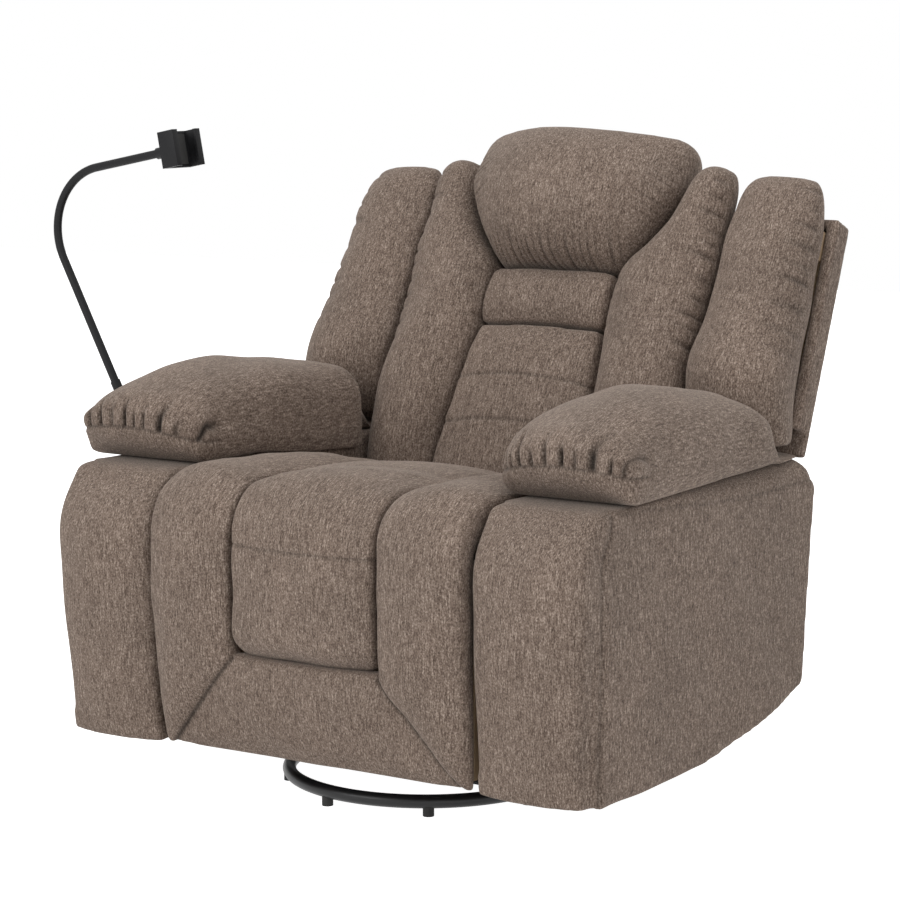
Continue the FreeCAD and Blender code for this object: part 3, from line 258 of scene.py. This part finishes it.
def folds(along, pitch, seed):
    """Rounded gathers with sharp valleys between them: 0 in a valley, 1 on a gather."""
    phase = along / pitch + 0.35 * uneven(along / pitch * 0.9, seed)
    return np.sqrt(np.abs(np.sin(math.pi * phase)))


def pleats(along, pitch, seed):
    """Narrow tucks at uneven places and depths: 1 at the bottom of a tuck, 0 between tucks."""
    phase = along / pitch + 0.26 * uneven(along / pitch * 0.9, seed)
    nearest = np.round(phase)
    depth = 0.75 + 0.25 * np.sin(nearest * 2.4 + seed * 3.1)
    return depth * np.exp(-((phase - nearest) / 0.15) ** 2)


def dress(piece, grain, body, nodes, detail):
    """Seams and gathers, painted shade in them, cloth coordinates, finish and place of a soft piece."""
    co = positions(piece.data)
    lie = grain(co)
    rise, painted_shade = detail(co, lie)
    move_to(piece.data, co + outward(piece.data) * rise[:, None])
    weave = piece.data.attributes.new("weave", "FLOAT_VECTOR", "POINT")
    weave.data.foreach_set("vector", lie.astype(np.float32).ravel())
    # painted shade: how dark each point's seam, pleat or fold is painted, kept as a point attribute
    seam = piece.data.attributes.new("painted_shade", "FLOAT", "POINT")
    seam.data.foreach_set("value", np.clip(painted_shade, 0, 1).astype(np.float32))
    piece.data.polygons.foreach_set("use_smooth", [True] * len(piece.data.polygons))
    piece.data.materials.clear()
    piece.data.materials.append(CHENILLE)
    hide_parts(*nodes)
    if isinstance(body, str):
        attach(piece, body)
    else:
        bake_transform(piece)
    return piece


# Finishes


def node_group(name, inputs, outputs):
    group = bpy.data.node_groups.new(name, "ShaderNodeTree")
    for label, kind in inputs:
        group.interface.new_socket(name=label, in_out="INPUT", socket_type=kind)
    for label, kind in outputs:
        group.interface.new_socket(name=label, in_out="OUTPUT", socket_type=kind)
    return group, group.nodes.new("NodeGroupInput"), group.nodes.new("NodeGroupOutput")


def add(tree, kind, inputs=None, **settings):
    node = tree.nodes.new(kind)
    for key, value in settings.items():
        setattr(node, key, value)
    for key, value in (inputs or {}).items():
        if isinstance(value, bpy.types.NodeSocket):
            tree.links.new(value, node.inputs[key])
        else:
            node.inputs[key].default_value = value
    return node


def ramp(tree, value, stops):
    node = add(tree, "ShaderNodeValToRGB", {"Fac": value})
    while len(node.color_ramp.elements) < len(stops):
        node.color_ramp.elements.new(0.5)
    for element, (place, color) in zip(node.color_ramp.elements, stops):
        element.position = place
        element.color = (*color, 1.0)
    return node.outputs["Color"]


def stretched_noise(tree, vector, scale, detail=2.0, rough=0.55):
    spread = add(tree, "ShaderNodeMapping", {"Vector": vector, "Scale": scale})
    noise = add(tree, "ShaderNodeTexNoise", {"Vector": spread.outputs["Vector"], "Scale": 1.0,
                                             "Detail": detail, "Roughness": rough})
    return noise.outputs["Fac"]


def math_node(tree, operation, first, second):
    return add(tree, "ShaderNodeMath", {0: first, 1: second}, operation=operation).outputs[0]


def yarn_group():
    """Chenille yarn: slubs along the grain, a heather of light and dark fibres, worn nap in patches and
    painted shade in creases.
    """
    group, given, result = node_group(
        "chenille yarn", [("Weave", "NodeSocketVector"), ("Painted Shade", "NodeSocketFloat")],
        [("Color", "NodeSocketColor"), ("Height", "NodeSocketFloat"), ("Roughness", "NodeSocketFloat")])
    weave = given.outputs["Weave"]
    streak = stretched_noise(group, weave, SLUB, 2.0, 0.5)
    grain = stretched_noise(group, weave, FIBRE, 2.0, 0.6)
    heather = stretched_noise(group, weave, HEATHER, 2.0, 0.5)
    nap = stretched_noise(group, weave, NAP, 3.0, 0.5)
    mixed = math_node(group, "ADD", math_node(group, "MULTIPLY", streak, 0.38),
                      math_node(group, "MULTIPLY", grain, 0.55))
    mixed = math_node(group, "ADD", mixed, math_node(group, "MULTIPLY", heather, 0.07))
    fibre = ramp(group, mixed, FIBRE_SHADES)
    worn = add(group, "ShaderNodeMapRange", {"Value": nap, "From Min": 0.3, "From Max": 0.7, "To Min": 0.90,
                                             "To Max": 1.08}).outputs["Result"]
    # painted shade: the yarn's colour is darkened where the cover sinks in at seams, pleats and folds
    shade = math_node(group, "SUBTRACT", worn, math_node(group, "MULTIPLY", given.outputs["Painted Shade"], 0.85))
    color = add(group, "ShaderNodeVectorMath", {0: fibre, 1: shade}, operation="MULTIPLY").outputs["Vector"]
    height = math_node(group, "ADD", math_node(group, "MULTIPLY", streak, 0.5),
                       math_node(group, "MULTIPLY", grain, 0.5))
    rough = add(group, "ShaderNodeMapRange", {"Value": mixed, "To Min": 0.98, "To Max": 0.82})
    group.links.new(color, result.inputs["Color"])
    group.links.new(height, result.inputs["Height"])
    group.links.new(rough.outputs["Result"], result.inputs["Roughness"])
    return group


def material(name):
    made = bpy.data.materials.new(name)
    made.use_nodes = True
    return made, made.node_tree, made.node_tree.nodes["Principled BSDF"]


def chenille():
    made, tree, shader = material("taupe chenille")
    weave = add(tree, "ShaderNodeAttribute", attribute_name="weave")
    # painted shade for seams, pleats and folds, stored on the cover's points
    painted_shade = add(tree, "ShaderNodeAttribute", attribute_name="painted_shade")
    yarn = add(tree, "ShaderNodeGroup", node_tree=yarn_group())
    tree.links.new(weave.outputs["Vector"], yarn.inputs["Weave"])
    tree.links.new(painted_shade.outputs["Fac"], yarn.inputs["Painted Shade"])
    bump = add(tree, "ShaderNodeBump", {"Height": yarn.outputs["Height"], "Strength": 0.55,
                                        "Distance": 0.0012})
    tree.links.new(yarn.outputs["Color"], shader.inputs["Base Color"])
    tree.links.new(yarn.outputs["Roughness"], shader.inputs["Roughness"])
    tree.links.new(bump.outputs["Normal"], shader.inputs["Normal"])
    shader.inputs["Sheen Weight"].default_value = 0.22
    shader.inputs["Sheen Roughness"].default_value = 0.45
    shader.inputs["Sheen Tint"].default_value = (0.85, 0.76, 0.68, 1.0)
    shader.inputs["Specular IOR Level"].default_value = 0.25
    return made


def speckle_group():
    """Fine mottling and dust for hard finishes."""
    group, given, result = node_group(
        "mottle", [("Dark", "NodeSocketColor"), ("Light", "NodeSocketColor"),
                   ("Stretch", "NodeSocketVector"), ("Smooth", "NodeSocketFloat"),
                   ("Rough", "NodeSocketFloat")],
        [("Color", "NodeSocketColor"), ("Roughness", "NodeSocketFloat"), ("Height", "NodeSocketFloat")])
    place = add(group, "ShaderNodeTexCoord").outputs["Object"]
    spread = add(group, "ShaderNodeVectorMath", {0: place, 1: given.outputs["Stretch"]},
                 operation="MULTIPLY").outputs["Vector"]
    fine = add(group, "ShaderNodeTexNoise", {"Vector": spread, "Scale": 1.0, "Detail": 4.0})
    broad = add(group, "ShaderNodeTexNoise", {"Vector": place, "Scale": 9.0, "Detail": 3.0})
    both = math_node(group, "ADD", math_node(group, "MULTIPLY", fine.outputs["Fac"], 0.65),
                     math_node(group, "MULTIPLY", broad.outputs["Fac"], 0.35))
    share = add(group, "ShaderNodeMapRange", {"Value": both, "From Min": 0.3,
                                              "From Max": 0.7}).outputs["Result"]
    color = add(group, "ShaderNodeMix", data_type="RGBA")
    group.links.new(share, color.inputs["Factor"])
    group.links.new(given.outputs["Dark"], color.inputs["A"])
    group.links.new(given.outputs["Light"], color.inputs["B"])
    rough = add(group, "ShaderNodeMapRange", {"Value": share, "To Min": given.outputs["Smooth"],
                                              "To Max": given.outputs["Rough"]})
    group.links.new(color.outputs["Result"], result.inputs["Color"])
    group.links.new(rough.outputs["Result"], result.inputs["Roughness"])
    group.links.new(fine.outputs["Fac"], result.inputs["Height"])
    return group


def hard_finish(name, dark, light, stretch, smooth, rough, metallic=0.0, bump=0.1, specular=0.5):
    made, tree, shader = material(name)
    mottle = add(tree, "ShaderNodeGroup", node_tree=MOTTLE)
    mottle.inputs["Dark"].default_value = (*dark, 1.0)
    mottle.inputs["Light"].default_value = (*light, 1.0)
    mottle.inputs["Stretch"].default_value = stretch
    mottle.inputs["Smooth"].default_value = smooth
    mottle.inputs["Rough"].default_value = rough
    relief = add(tree, "ShaderNodeBump", {"Height": mottle.outputs["Height"], "Strength": bump,
                                          "Distance": 0.0006})
    tree.links.new(mottle.outputs["Color"], shader.inputs["Base Color"])
    tree.links.new(mottle.outputs["Roughness"], shader.inputs["Roughness"])
    tree.links.new(relief.outputs["Normal"], shader.inputs["Normal"])
    shader.inputs["Metallic"].default_value = metallic
    shader.inputs["Specular IOR Level"].default_value = specular
    return made


CHENILLE = chenille()
MOTTLE = speckle_group()
SLOT_FINISH = {
    "black_steel": hard_finish("black powder coat", (0.008, 0.008, 0.009), (0.018, 0.018, 0.019),
                               (900, 900, 900), 0.30, 0.42, bump=0.12, specular=0.35),
    "bare_steel": hard_finish("zinc plate", (0.36, 0.36, 0.37), (0.55, 0.55, 0.56), (900, 60, 60), 0.3, 0.5,
                              metallic=1.0),
    "timber": hard_finish("sawn timber", (0.36, 0.24, 0.14), (0.56, 0.42, 0.27), (30, 400, 30), 0.6, 0.8,
                          bump=0.3),
    "black_plastic": hard_finish("satin black plastic", (0.006, 0.006, 0.007), (0.013, 0.013, 0.014),
                                 (700, 700, 700), 0.40, 0.55, bump=0.12, specular=0.18),
    "black_rubber": hard_finish("black rubber", (0.014, 0.014, 0.014), (0.030, 0.029, 0.028),
                                (500, 500, 500), 0.7, 0.9, bump=0.3),
}


def finish_hard_nodes():
    for part in frame["record"]["subparts"]:
        finish = SLOT_FINISH.get(part["material_slot"])
        if finish:
            mesh = NODES[part["node"]].data
            mesh.materials.clear()
            mesh.materials.append(finish)


def soften_hard_edges():
    """Moulded and pressed pieces with their edges eased."""
    for node, body, slot, width in (
            ("clamp_body", "phone_clamp", "black_plastic", 0.0022),
            ("clamp_jaw", "clamp_jaw", "black_plastic", 0.0022),
            ("release_lever", "release_lever", "black_plastic", 0.0030),
            ("lever_bezel", "chair_frame", "black_plastic", 0.0015),
            ("neck_socket", "chair_frame", "black_steel", 0.0010)):
        shape = bmesh.new()
        shape.from_mesh(NODES[node].data)
        bmesh.ops.remove_doubles(shape, verts=shape.verts, dist=1e-5)
        bmesh.ops.dissolve_limit(shape, angle_limit=math.radians(1), verts=shape.verts, edges=shape.edges)
        sharp = [edge for edge in shape.edges if len(edge.link_faces) == 2
                 and edge.calc_face_angle() > math.radians(50)]
        bmesh.ops.bevel(shape, geom=sharp, offset=width, offset_type="OFFSET", affect="EDGES", segments=3,
                        profile=0.5, material=-1, clamp_overlap=True)
        bmesh.ops.triangulate(shape, faces=shape.faces)
        mesh = bpy.data.meshes.new(node + "_eased")
        shape.to_mesh(mesh)
        shape.free()
        mesh.materials.append(SLOT_FINISH[slot])
        mesh.polygons.foreach_set("use_smooth", [True] * len(mesh.polygons))
        mesh.set_sharp_from_angle(angle=math.radians(40))
        piece = linked(node + "_eased", mesh)
        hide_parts(node)
        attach(piece, body)


# Details of each soft piece: how far its cover stands out or in, and how much shade is painted into its
# seams, pleats and folds


def centre_detail(co, lie):
    along = lie[:, 1]
    face = fade(lie[:, 2], *CHAISE_FACE)
    seam = groove(along - CHAISE_STITCH, 0.003) * face
    ease = 0.0018 * uneven(along * 26 + co[:, 0] * 17, 1.3) * face
    # painted shade along the stitched seam
    return ease - 0.0018 * seam, 0.4 * seam


def surround_detail(co, lie):
    """Two side channels and the panel below the middle one, sewn together along the mitres."""
    side, z = np.abs(co[:, 0]), co[:, 2]
    front = fade(co[:, 1], -0.290, -0.305)
    below = np.maximum(0.0, MITRE_TOP - z)
    mitre = (side - MITRE_SIDE - below * MITRE_SLOPE) / math.hypot(1.0, MITRE_SLOPE)
    seam = groove(mitre, 0.0032) * fade(z, 0.262, 0.246) * front
    ease = 0.0016 * uneven(lie[:, 1] * 24 + side * 21, 2.6) * fade(lie[:, 2], *CHAISE_FACE)
    # painted shade along the mitre seams
    return ease - 0.0030 * seam, 0.75 * seam


def lumbar_detail(co, lie):
    up = lie[:, 1]
    face = fade(lie[:, 2], 0.10, 0.13)
    bow = 0.010 * (1 - (co[:, 0] / LUMBAR_HALF) ** 2)
    seams = sum(groove(up - stitch - bow, 0.0035) for stitch in LUMBAR_STITCHES)
    pucker = sum(groove(up - stitch - bow, 0.014) for stitch in LUMBAR_STITCHES)
    # painted shade along the stitch lines
    return (0.0006 * folds(co[:, 0], 0.019, 0.7) * pucker - 0.0018 * seams) * face, 0.35 * seams * face


def band_detail(co, lie):
    return 0.0012 * uneven(lie[:, 1] * 31 + co[:, 0] * 23, 4.2), np.zeros(len(co))


def skirt_detail(co, lie):
    return 0.0010 * uneven(lie[:, 1] * 19 + co[:, 0] * 11, 2.4), np.zeros(len(co))


def head_detail(co, lie):
    up, side = lie[:, 1], np.abs(co[:, 0])
    front = fade(lie[:, 2], 0.10, 0.15)
    hem = fade(up, 0.570 + 0.012 * uneven(co[:, 0] * 60, 0.9), 0.518) * front
    hem_folds = pleats(co[:, 0] * (1 - 0.5 * (up - 0.5)), 0.014, 2.2)
    edge = fade(side, 0.120, 0.195) * fade(up, 0.545, 0.60) * fade(up, 0.73, 0.67) * front
    edge_folds = pleats(up + 0.45 * side, 0.016, 1.1)
    # painted shade in the hem gathers and the edge folds
    painted_shade = 0.5 * hem_folds * hem + 0.35 * edge_folds * edge
    ease = 0.0022 * uneven(up * 21 + co[:, 0] * 9, 0.4)
    return ease - 0.0034 * hem_folds * hem - 0.0026 * edge_folds * edge, painted_shade


def bolster_detail(co, lie):
    up, side = lie[:, 1], np.abs(co[:, 0])
    front = fade(lie[:, 2], 0.09, 0.13)
    reach = 0.018 * uneven(up * 55, 1.4)
    outer = fade(side, 0.252 + reach, 0.292) * fade(up, 0.30, 0.38)
    inner = fade(side, 0.185 + reach, 0.150) * fade(up, 0.36, 0.42) * fade(up, 0.60, 0.52)
    ruche = pleats(up + 0.16 * side, 0.030, 5.1 + np.sign(co[:, 0].mean()))
    edge = np.maximum(outer, 0.3 * inner) * front
    ease = 0.0024 * uneven(up * 17 + side * 29, 2.2)
    # painted shade in the ruched folds
    return ease - 0.0036 * ruche * edge, 0.5 * ruche * edge


def wing_detail(co, lie):
    up, side = lie[:, 1], np.abs(co[:, 0])
    front = fade(lie[:, 2], 0.07, 0.10)
    reach = 0.016 * uneven(up * 48, 2.7)
    edge = fade(side, 0.415 + reach, 0.455) * fade(up, 0.34, 0.44) * front
    ruche = pleats(up + 0.10 * side, 0.036, 8.3 + np.sign(co[:, 0].mean()))
    ease = 0.0028 * uneven(up * 19 + side * 13, 3.9)
    # painted shade in the ruched folds
    return ease - 0.0036 * ruche * edge, 0.5 * ruche * edge


def widen(co):
    """Fill the creases beside the lumbar pads."""
    return co * (1.03, 1.0, 1.0)


def raise_panel(co):
    """Push the lower panel's top edge up under the middle channel."""
    side, z = np.abs(co[:, 0]), co[:, 2]
    edge = fade(z, 0.200, 0.245) * fade(z, 0.266, 0.252) * fade(side, 0.146, 0.126)
    return co + 0.012 * np.stack([0 * edge, 0 * edge, edge], axis=1)


def fuller(across, above, power):
    """How much further out a point goes when a round section becomes a squarer one."""
    reach = np.maximum(np.hypot(across, above), 1e-9)
    a, b = np.abs(across) / reach, np.abs(above) / reach
    return (a ** power + b ** power) ** (-1.0 / power)


def plump_pillow(co):
    """Fill the pillow's sides, its nose and its rear, and let it hang over the arm's inner edge."""
    way = np.sign(co[:, 0].mean())
    side, y, z = way * co[:, 0], co[:, 1], co[:, 2]
    across = (side - PILLOW_CROWN) / PILLOW_HALF
    inner, outer = fade(across, 0.0, -0.9), fade(across, 0.0, 0.9)
    upper = fade(z, PILLOW_MIDDLE - 0.02, PILLOW_MIDDLE + 0.01)
    body = fade(y, -0.27, -0.20) * fade(y, 0.285, 0.255)
    # A squarer section, over the whole length but the nose and the tail
    above = z - PILLOW_MIDDLE
    grow = 1 + (fuller(across, above / 0.1, 2.9) - 1) * upper * body * (inner + 0.6 * outer)
    side = PILLOW_CROWN + (side - PILLOW_CROWN) * grow
    z = PILLOW_MIDDLE + above * np.where(above > 0, grow, 1.0)
    # Wider over the arm's inner edge and towards the rear, where the top is also fuller
    side = side - 0.022 * inner * fade(y, -0.28, -0.22) * fade(y, 0.254, 0.224)
    side = side + 0.010 * outer * fade(y, 0.08, 0.26)
    z = z + (0.014 * outer + 0.020 * inner) * upper * fade(y, 0.12, 0.24) * fade(y, 0.300, 0.285)
    z = z + 0.010 * upper * fade(y, 0.20, 0.262) * fade(y, 0.290, 0.275)
    # The inner side hangs down to the seat, which slopes to the rear
    drop = np.clip(0.010 + 0.19 * (y + 0.02), 0, 0.054) * fade(y, 0.246, 0.226)
    z = z - drop * fade(across, -0.78, -0.98) * fade(z, PILLOW_MIDDLE + 0.03, ARM_TOP)
    # A nose rounded in plan, with a full band below its seam
    nose = fade(y, -0.13, -0.26)
    y = y + 0.022 * nose * np.clip(across, -1.0, 1.0) ** 2 * fade(z, 0.525, 0.570)
    band = np.clip((z - ARM_TOP) / 0.056, 0, 1)
    y = y - 0.011 * np.sin(math.pi * band) * fade(y, -0.16, -0.20)
    # A thin tail under the wing, and the lower front corner drawn out to a point
    z = np.where(z > ARM_TOP, ARM_TOP + (z - ARM_TOP) * (1 - 0.7 * fade(y, 0.278, 0.296)), z)
    co = np.stack([way * side, y, z], axis=1)
    gap = np.array(PILLOW_CORNER) * (way, 1.0, 1.0) - co
    near = np.clip(1 - np.linalg.norm(gap, axis=1, keepdims=True) / 0.055, 0, 1) ** 1.5
    return co + 0.75 * near * gap


def shape_wing(co):
    """Ease a wing's outer front edge, more towards its top, and bring its lower end down to the arm."""
    lie = grain_back(co)
    edge = fade(np.abs(co[:, 0]), 0.38, 0.47) * fade(lie[:, 2], 0.05, 0.15) * fade(lie[:, 1], 0.30, 0.55)
    y, z = co[:, 1] - BACK_PIVOT[0], co[:, 2] - BACK_PIVOT[1]
    reach = np.hypot(y, z)
    lower = 1 - 0.026 * fade(reach, 0.36, WING_END) / reach
    return np.stack([co[:, 0] - 0.010 * np.sign(co[:, 0]) * edge, BACK_PIVOT[0] + y * lower,
                     BACK_PIVOT[1] + z * lower], axis=1)


def arm_rounding(y):
    return 0.006 + 0.030 * fade(y, -0.30, 0.22)


def rounded_corner(across, along, radius):
    """Push points past a rounded edge back onto it, given their distances from the rounding's centre."""
    reach = np.hypot(across, along)
    outside = (across > 0) & (along > 0) & (reach > radius)
    share = np.where(outside, radius / np.maximum(reach, 1e-9), 1.0)
    return across * share, along * share


def shape_arm(co):
    """Round the arm's outer top edge, more towards its rear, and draw its outer foot in at the front."""
    side, y, z = np.abs(co[:, 0]), co[:, 1], co[:, 2]
    outer = fade(side, 0.36, 0.48)
    draw = 0.011 * fade(y, -0.281, -0.312)
    side = side - draw * outer * fade(z, 0.42, 0.12)
    radius = arm_rounding(y)
    across, above = rounded_corner(side - ARM_OUTER + radius, z - ARM_TOP + radius, radius)
    side, z = across + ARM_OUTER - radius, above + ARM_TOP - radius
    radius = 0.008
    across, below = rounded_corner(side - ARM_OUTER + draw + radius, ARM_FOOT + radius - z, radius)
    side, z = across + ARM_OUTER - draw - radius, ARM_FOOT + radius - below
    return np.stack([np.sign(co[:, 0]) * side, y, z], axis=1)


def pillow_detail(co, lie):
    """A seam round the nose, pleats that run up from it and a smooth band below."""
    y, z, across = co[:, 1], co[:, 2], np.abs(co[:, 0]) - PILLOW_CROWN
    seed = 1.7 + np.sign(co[:, 0].mean())
    nose = fade(y, -0.165, -0.205)
    line = PILLOW_SEAM - 0.012 * (across / 0.10) ** 2
    seam = groove(z - line, 0.0030) * nose
    fan = across * (1 - 1.6 * np.clip(z - line, 0, 0.1))
    length = 0.052 + 0.016 * uneven(fan * 90, seed)
    above = fade(z, line - 0.001, line + 0.005) * fade(z, line + length, line + 0.3 * length) * nose
    tuck = pleats(fan, 0.024, seed)
    ease = 0.0026 * uneven(y * 15 + co[:, 0] * 22, 6.1) * fade(z, 0.56, 0.60)
    rise = ease - 0.0110 * tuck * above - 0.0026 * seam
    # painted shade in the tucks and along the nose seam
    return rise, 1.15 * tuck * above + 0.45 * seam


def arm_detail(co, lie):
    """A filled outer side, and the seam where the front pad joins it."""
    side, y, z = np.abs(co[:, 0]), co[:, 1], co[:, 2]
    flank = np.maximum(fade(side, 0.482, 0.491), fade(side, 0.308, 0.299))
    seam = groove(y - ARM_FRONT_SEAM - 0.03 * fade(z, 0.44, ARM_TOP), 0.004) * flank
    outer = fade(side, 0.484, 0.492)
    welt = groove(z - ARM_TOP + arm_rounding(y), 0.0035) * fade(side, 0.470, 0.484) * fade(y, -0.28, -0.20)
    fill = np.clip(1 - ((y - 0.05) / 0.36) ** 2, 0, 1) * np.clip(1 - ((z - 0.31) / 0.22) ** 2, 0, 1)
    beside = fade(np.hypot(y - LEVER_PIVOT[0], z - LEVER_PIVOT[1]), *LEVER_ROOM)
    fill = fill * np.where(co[:, 0] < 0, beside, 1.0)
    ease = 0.0014 * uneven(y * 17 + z * 13, 1.9)
    # painted shade along the front seam and the top welt
    return outer * 0.004 * fill + ease - 0.0024 * seam - 0.0015 * welt, 0.4 * seam + 0.3 * welt


def shell_detail(co, lie):
    rear = fade(lie[:, 2], 0.012, 0.006)
    fill = np.clip(1 - (co[:, 0] / 0.45) ** 2, 0, 1) * np.clip(1 - ((lie[:, 1] - 0.43) / 0.21) ** 2, 0, 1)
    return rear * 0.006 * fill, np.zeros(len(co))


def upholster():
    chaise = ("chair_frame", "footrest", FOLD + FOLD_WAY, FOLD - FOLD_WAY)
    surround = ("seat_channel_left", "seat_channel_right", "footrest_channel_left",
                "footrest_channel_right", "footrest_lower_panel")
    middle = ("seat_centre", "footrest_centre")
    pads = [("chaise_centre", middle, chaise, centre_detail, 2, 0.006, 0.0065, 1),
            ("chaise_surround", surround, chaise, surround_detail, 2, 0.006, 0.007, 1),
            ("lumbar_pad", ("lumbar_lower",), "back", lumbar_detail, 6, 0.005, 0.006, 1),
            ("lumbar_band", ("lumbar_upper",), "back", band_detail, 2, 0.005, 0.006, 1),
            ("head_cushion", ("head_pillow",), "back", head_detail, 2, 0.010, 0.0075, 2)]
    covers = [("skirt_rear", ("rear_skirt",), "chair_frame", skirt_detail),
              ("back_shell", ("rear_shell",), "back", shell_detail)]
    for side in ("left", "right"):
        pads += [("bolster_pad_" + side, ("bolster_" + side,), "back", bolster_detail, 2, 0.006, 0.0055, 1),
                 ("wing_pad_" + side, ("wing_" + side,), "back", wing_detail, 3, 0.006, 0.0055, 1),
                 ("arm_cushion_" + side, ("arm_pillow_" + side,), "chair_frame", pillow_detail, 2, 0.010,
                  0.008, 2)]
        covers.append(("arm_body_" + side, ("arm_cover_" + side, "arm_front_pad_" + side), "chair_frame",
                       arm_detail))
    grains = {centre_detail: grain_chaise, surround_detail: grain_chaise, pillow_detail: grain_pillow,
              arm_detail: grain_upright, skirt_detail: grain_upright}
    reshape = {pillow_detail: plump_pillow, wing_detail: shape_wing, arm_detail: shape_arm,
               surround_detail: raise_panel, lumbar_detail: widen, band_detail: widen}
    for name, nodes, body, detail, ease, slack, voxel, levels in pads:
        piece = blank(name, nodes, voxel)
        relax(piece, ease)
        stuff(piece, slack, SWELL_CAP)
        if detail in reshape:
            move_to(piece.data, reshape[detail](positions(piece.data)))
        refine(piece, levels)
        dress(piece, grains.get(detail, grain_back), body, nodes, detail)
    for name, nodes, body, detail in covers:
        piece = blank(name, nodes, 0.005)
        relax(piece, 5)
        if detail in reshape:
            relax(piece, 25, lambda co: (co[:, 1] < -0.245) & (co[:, 2] > 0.12))
            move_to(piece.data, reshape[detail](positions(piece.data)))
        dress(piece, grains.get(detail, grain_back), body, nodes, detail)


# Studio


def seen_directly(tree):
    """1 for what the camera sees, straight or in a gloss, and 0 for light on its way to the chair."""
    path = add(tree, "ShaderNodeLightPath")
    return math_node(tree, "MAXIMUM", path.outputs["Is Camera Ray"], path.outputs["Is Glossy Ray"])


def studio():
    floor_mesh = bpy.data.meshes.new("floor")
    sheet = bmesh.new()
    bmesh.ops.create_grid(sheet, x_segments=1, y_segments=1, size=9.0)
    sheet.to_mesh(floor_mesh)
    sheet.free()
    floor = linked("floor", floor_mesh)
    made, tree, shader = material("pale floor")
    shader.inputs["Base Color"].default_value = (0.86, 0.86, 0.86, 1.0)
    shader.inputs["Roughness"].default_value = 0.9
    tree.links.new(seen_directly(tree), shader.inputs["Emission Strength"])
    shader.inputs["Emission Color"].default_value = (1.0, 1.0, 1.0, 1.0)
    floor_mesh.materials.append(made)

    world = bpy.data.worlds.new("studio")
    bpy.context.scene.world = world
    world.use_nodes = True
    tree = world.node_tree
    backdrop = tree.nodes["Background"]
    backdrop.inputs["Color"].default_value = (1.0, 1.0, 1.0, 1.0)
    backdrop.inputs["Strength"].default_value = 1.0
    soft = add(tree, "ShaderNodeBackground", {"Color": (1.0, 0.99, 0.98, 1.0), "Strength": 0.45})
    either = add(tree, "ShaderNodeMixShader", {0: seen_directly(tree)})
    tree.links.new(soft.outputs[0], either.inputs[1])
    tree.links.new(backdrop.outputs[0], either.inputs[2])
    tree.links.new(either.outputs[0], tree.nodes["World Output"].inputs["Surface"])

    for name, (place, size, power) in LAMPS.items():
        lamp = bpy.data.lights.new(name, "AREA")
        lamp.size = size
        lamp.energy = power
        holder = bpy.data.objects.new(name, lamp)
        holder.location = place
        holder.rotation_euler = (LAMP_AIM - Vector(place)).to_track_quat("-Z", "Y").to_euler()
        bpy.context.scene.collection.objects.link(holder)

    lens = bpy.data.cameras.new("camera")
    lens.lens = CAMERA_LENS
    lens.sensor_width = CAMERA_SENSOR
    camera = bpy.data.objects.new("camera", lens)
    camera.location = CAMERA_PLACE
    turn, level = CAMERA_AROUND, math.cos(CAMERA_DOWN)
    look = Vector((-math.sin(turn) * level, math.cos(turn) * level, -math.sin(CAMERA_DOWN)))
    camera.rotation_euler = look.to_track_quat("-Z", "Y").to_euler()
    bpy.context.scene.collection.objects.link(camera)
    bpy.context.scene.camera = camera
    bpy.context.scene.view_settings.view_transform = "Standard"


studio()
finish_hard_nodes()
soften_hard_edges()
upholster()
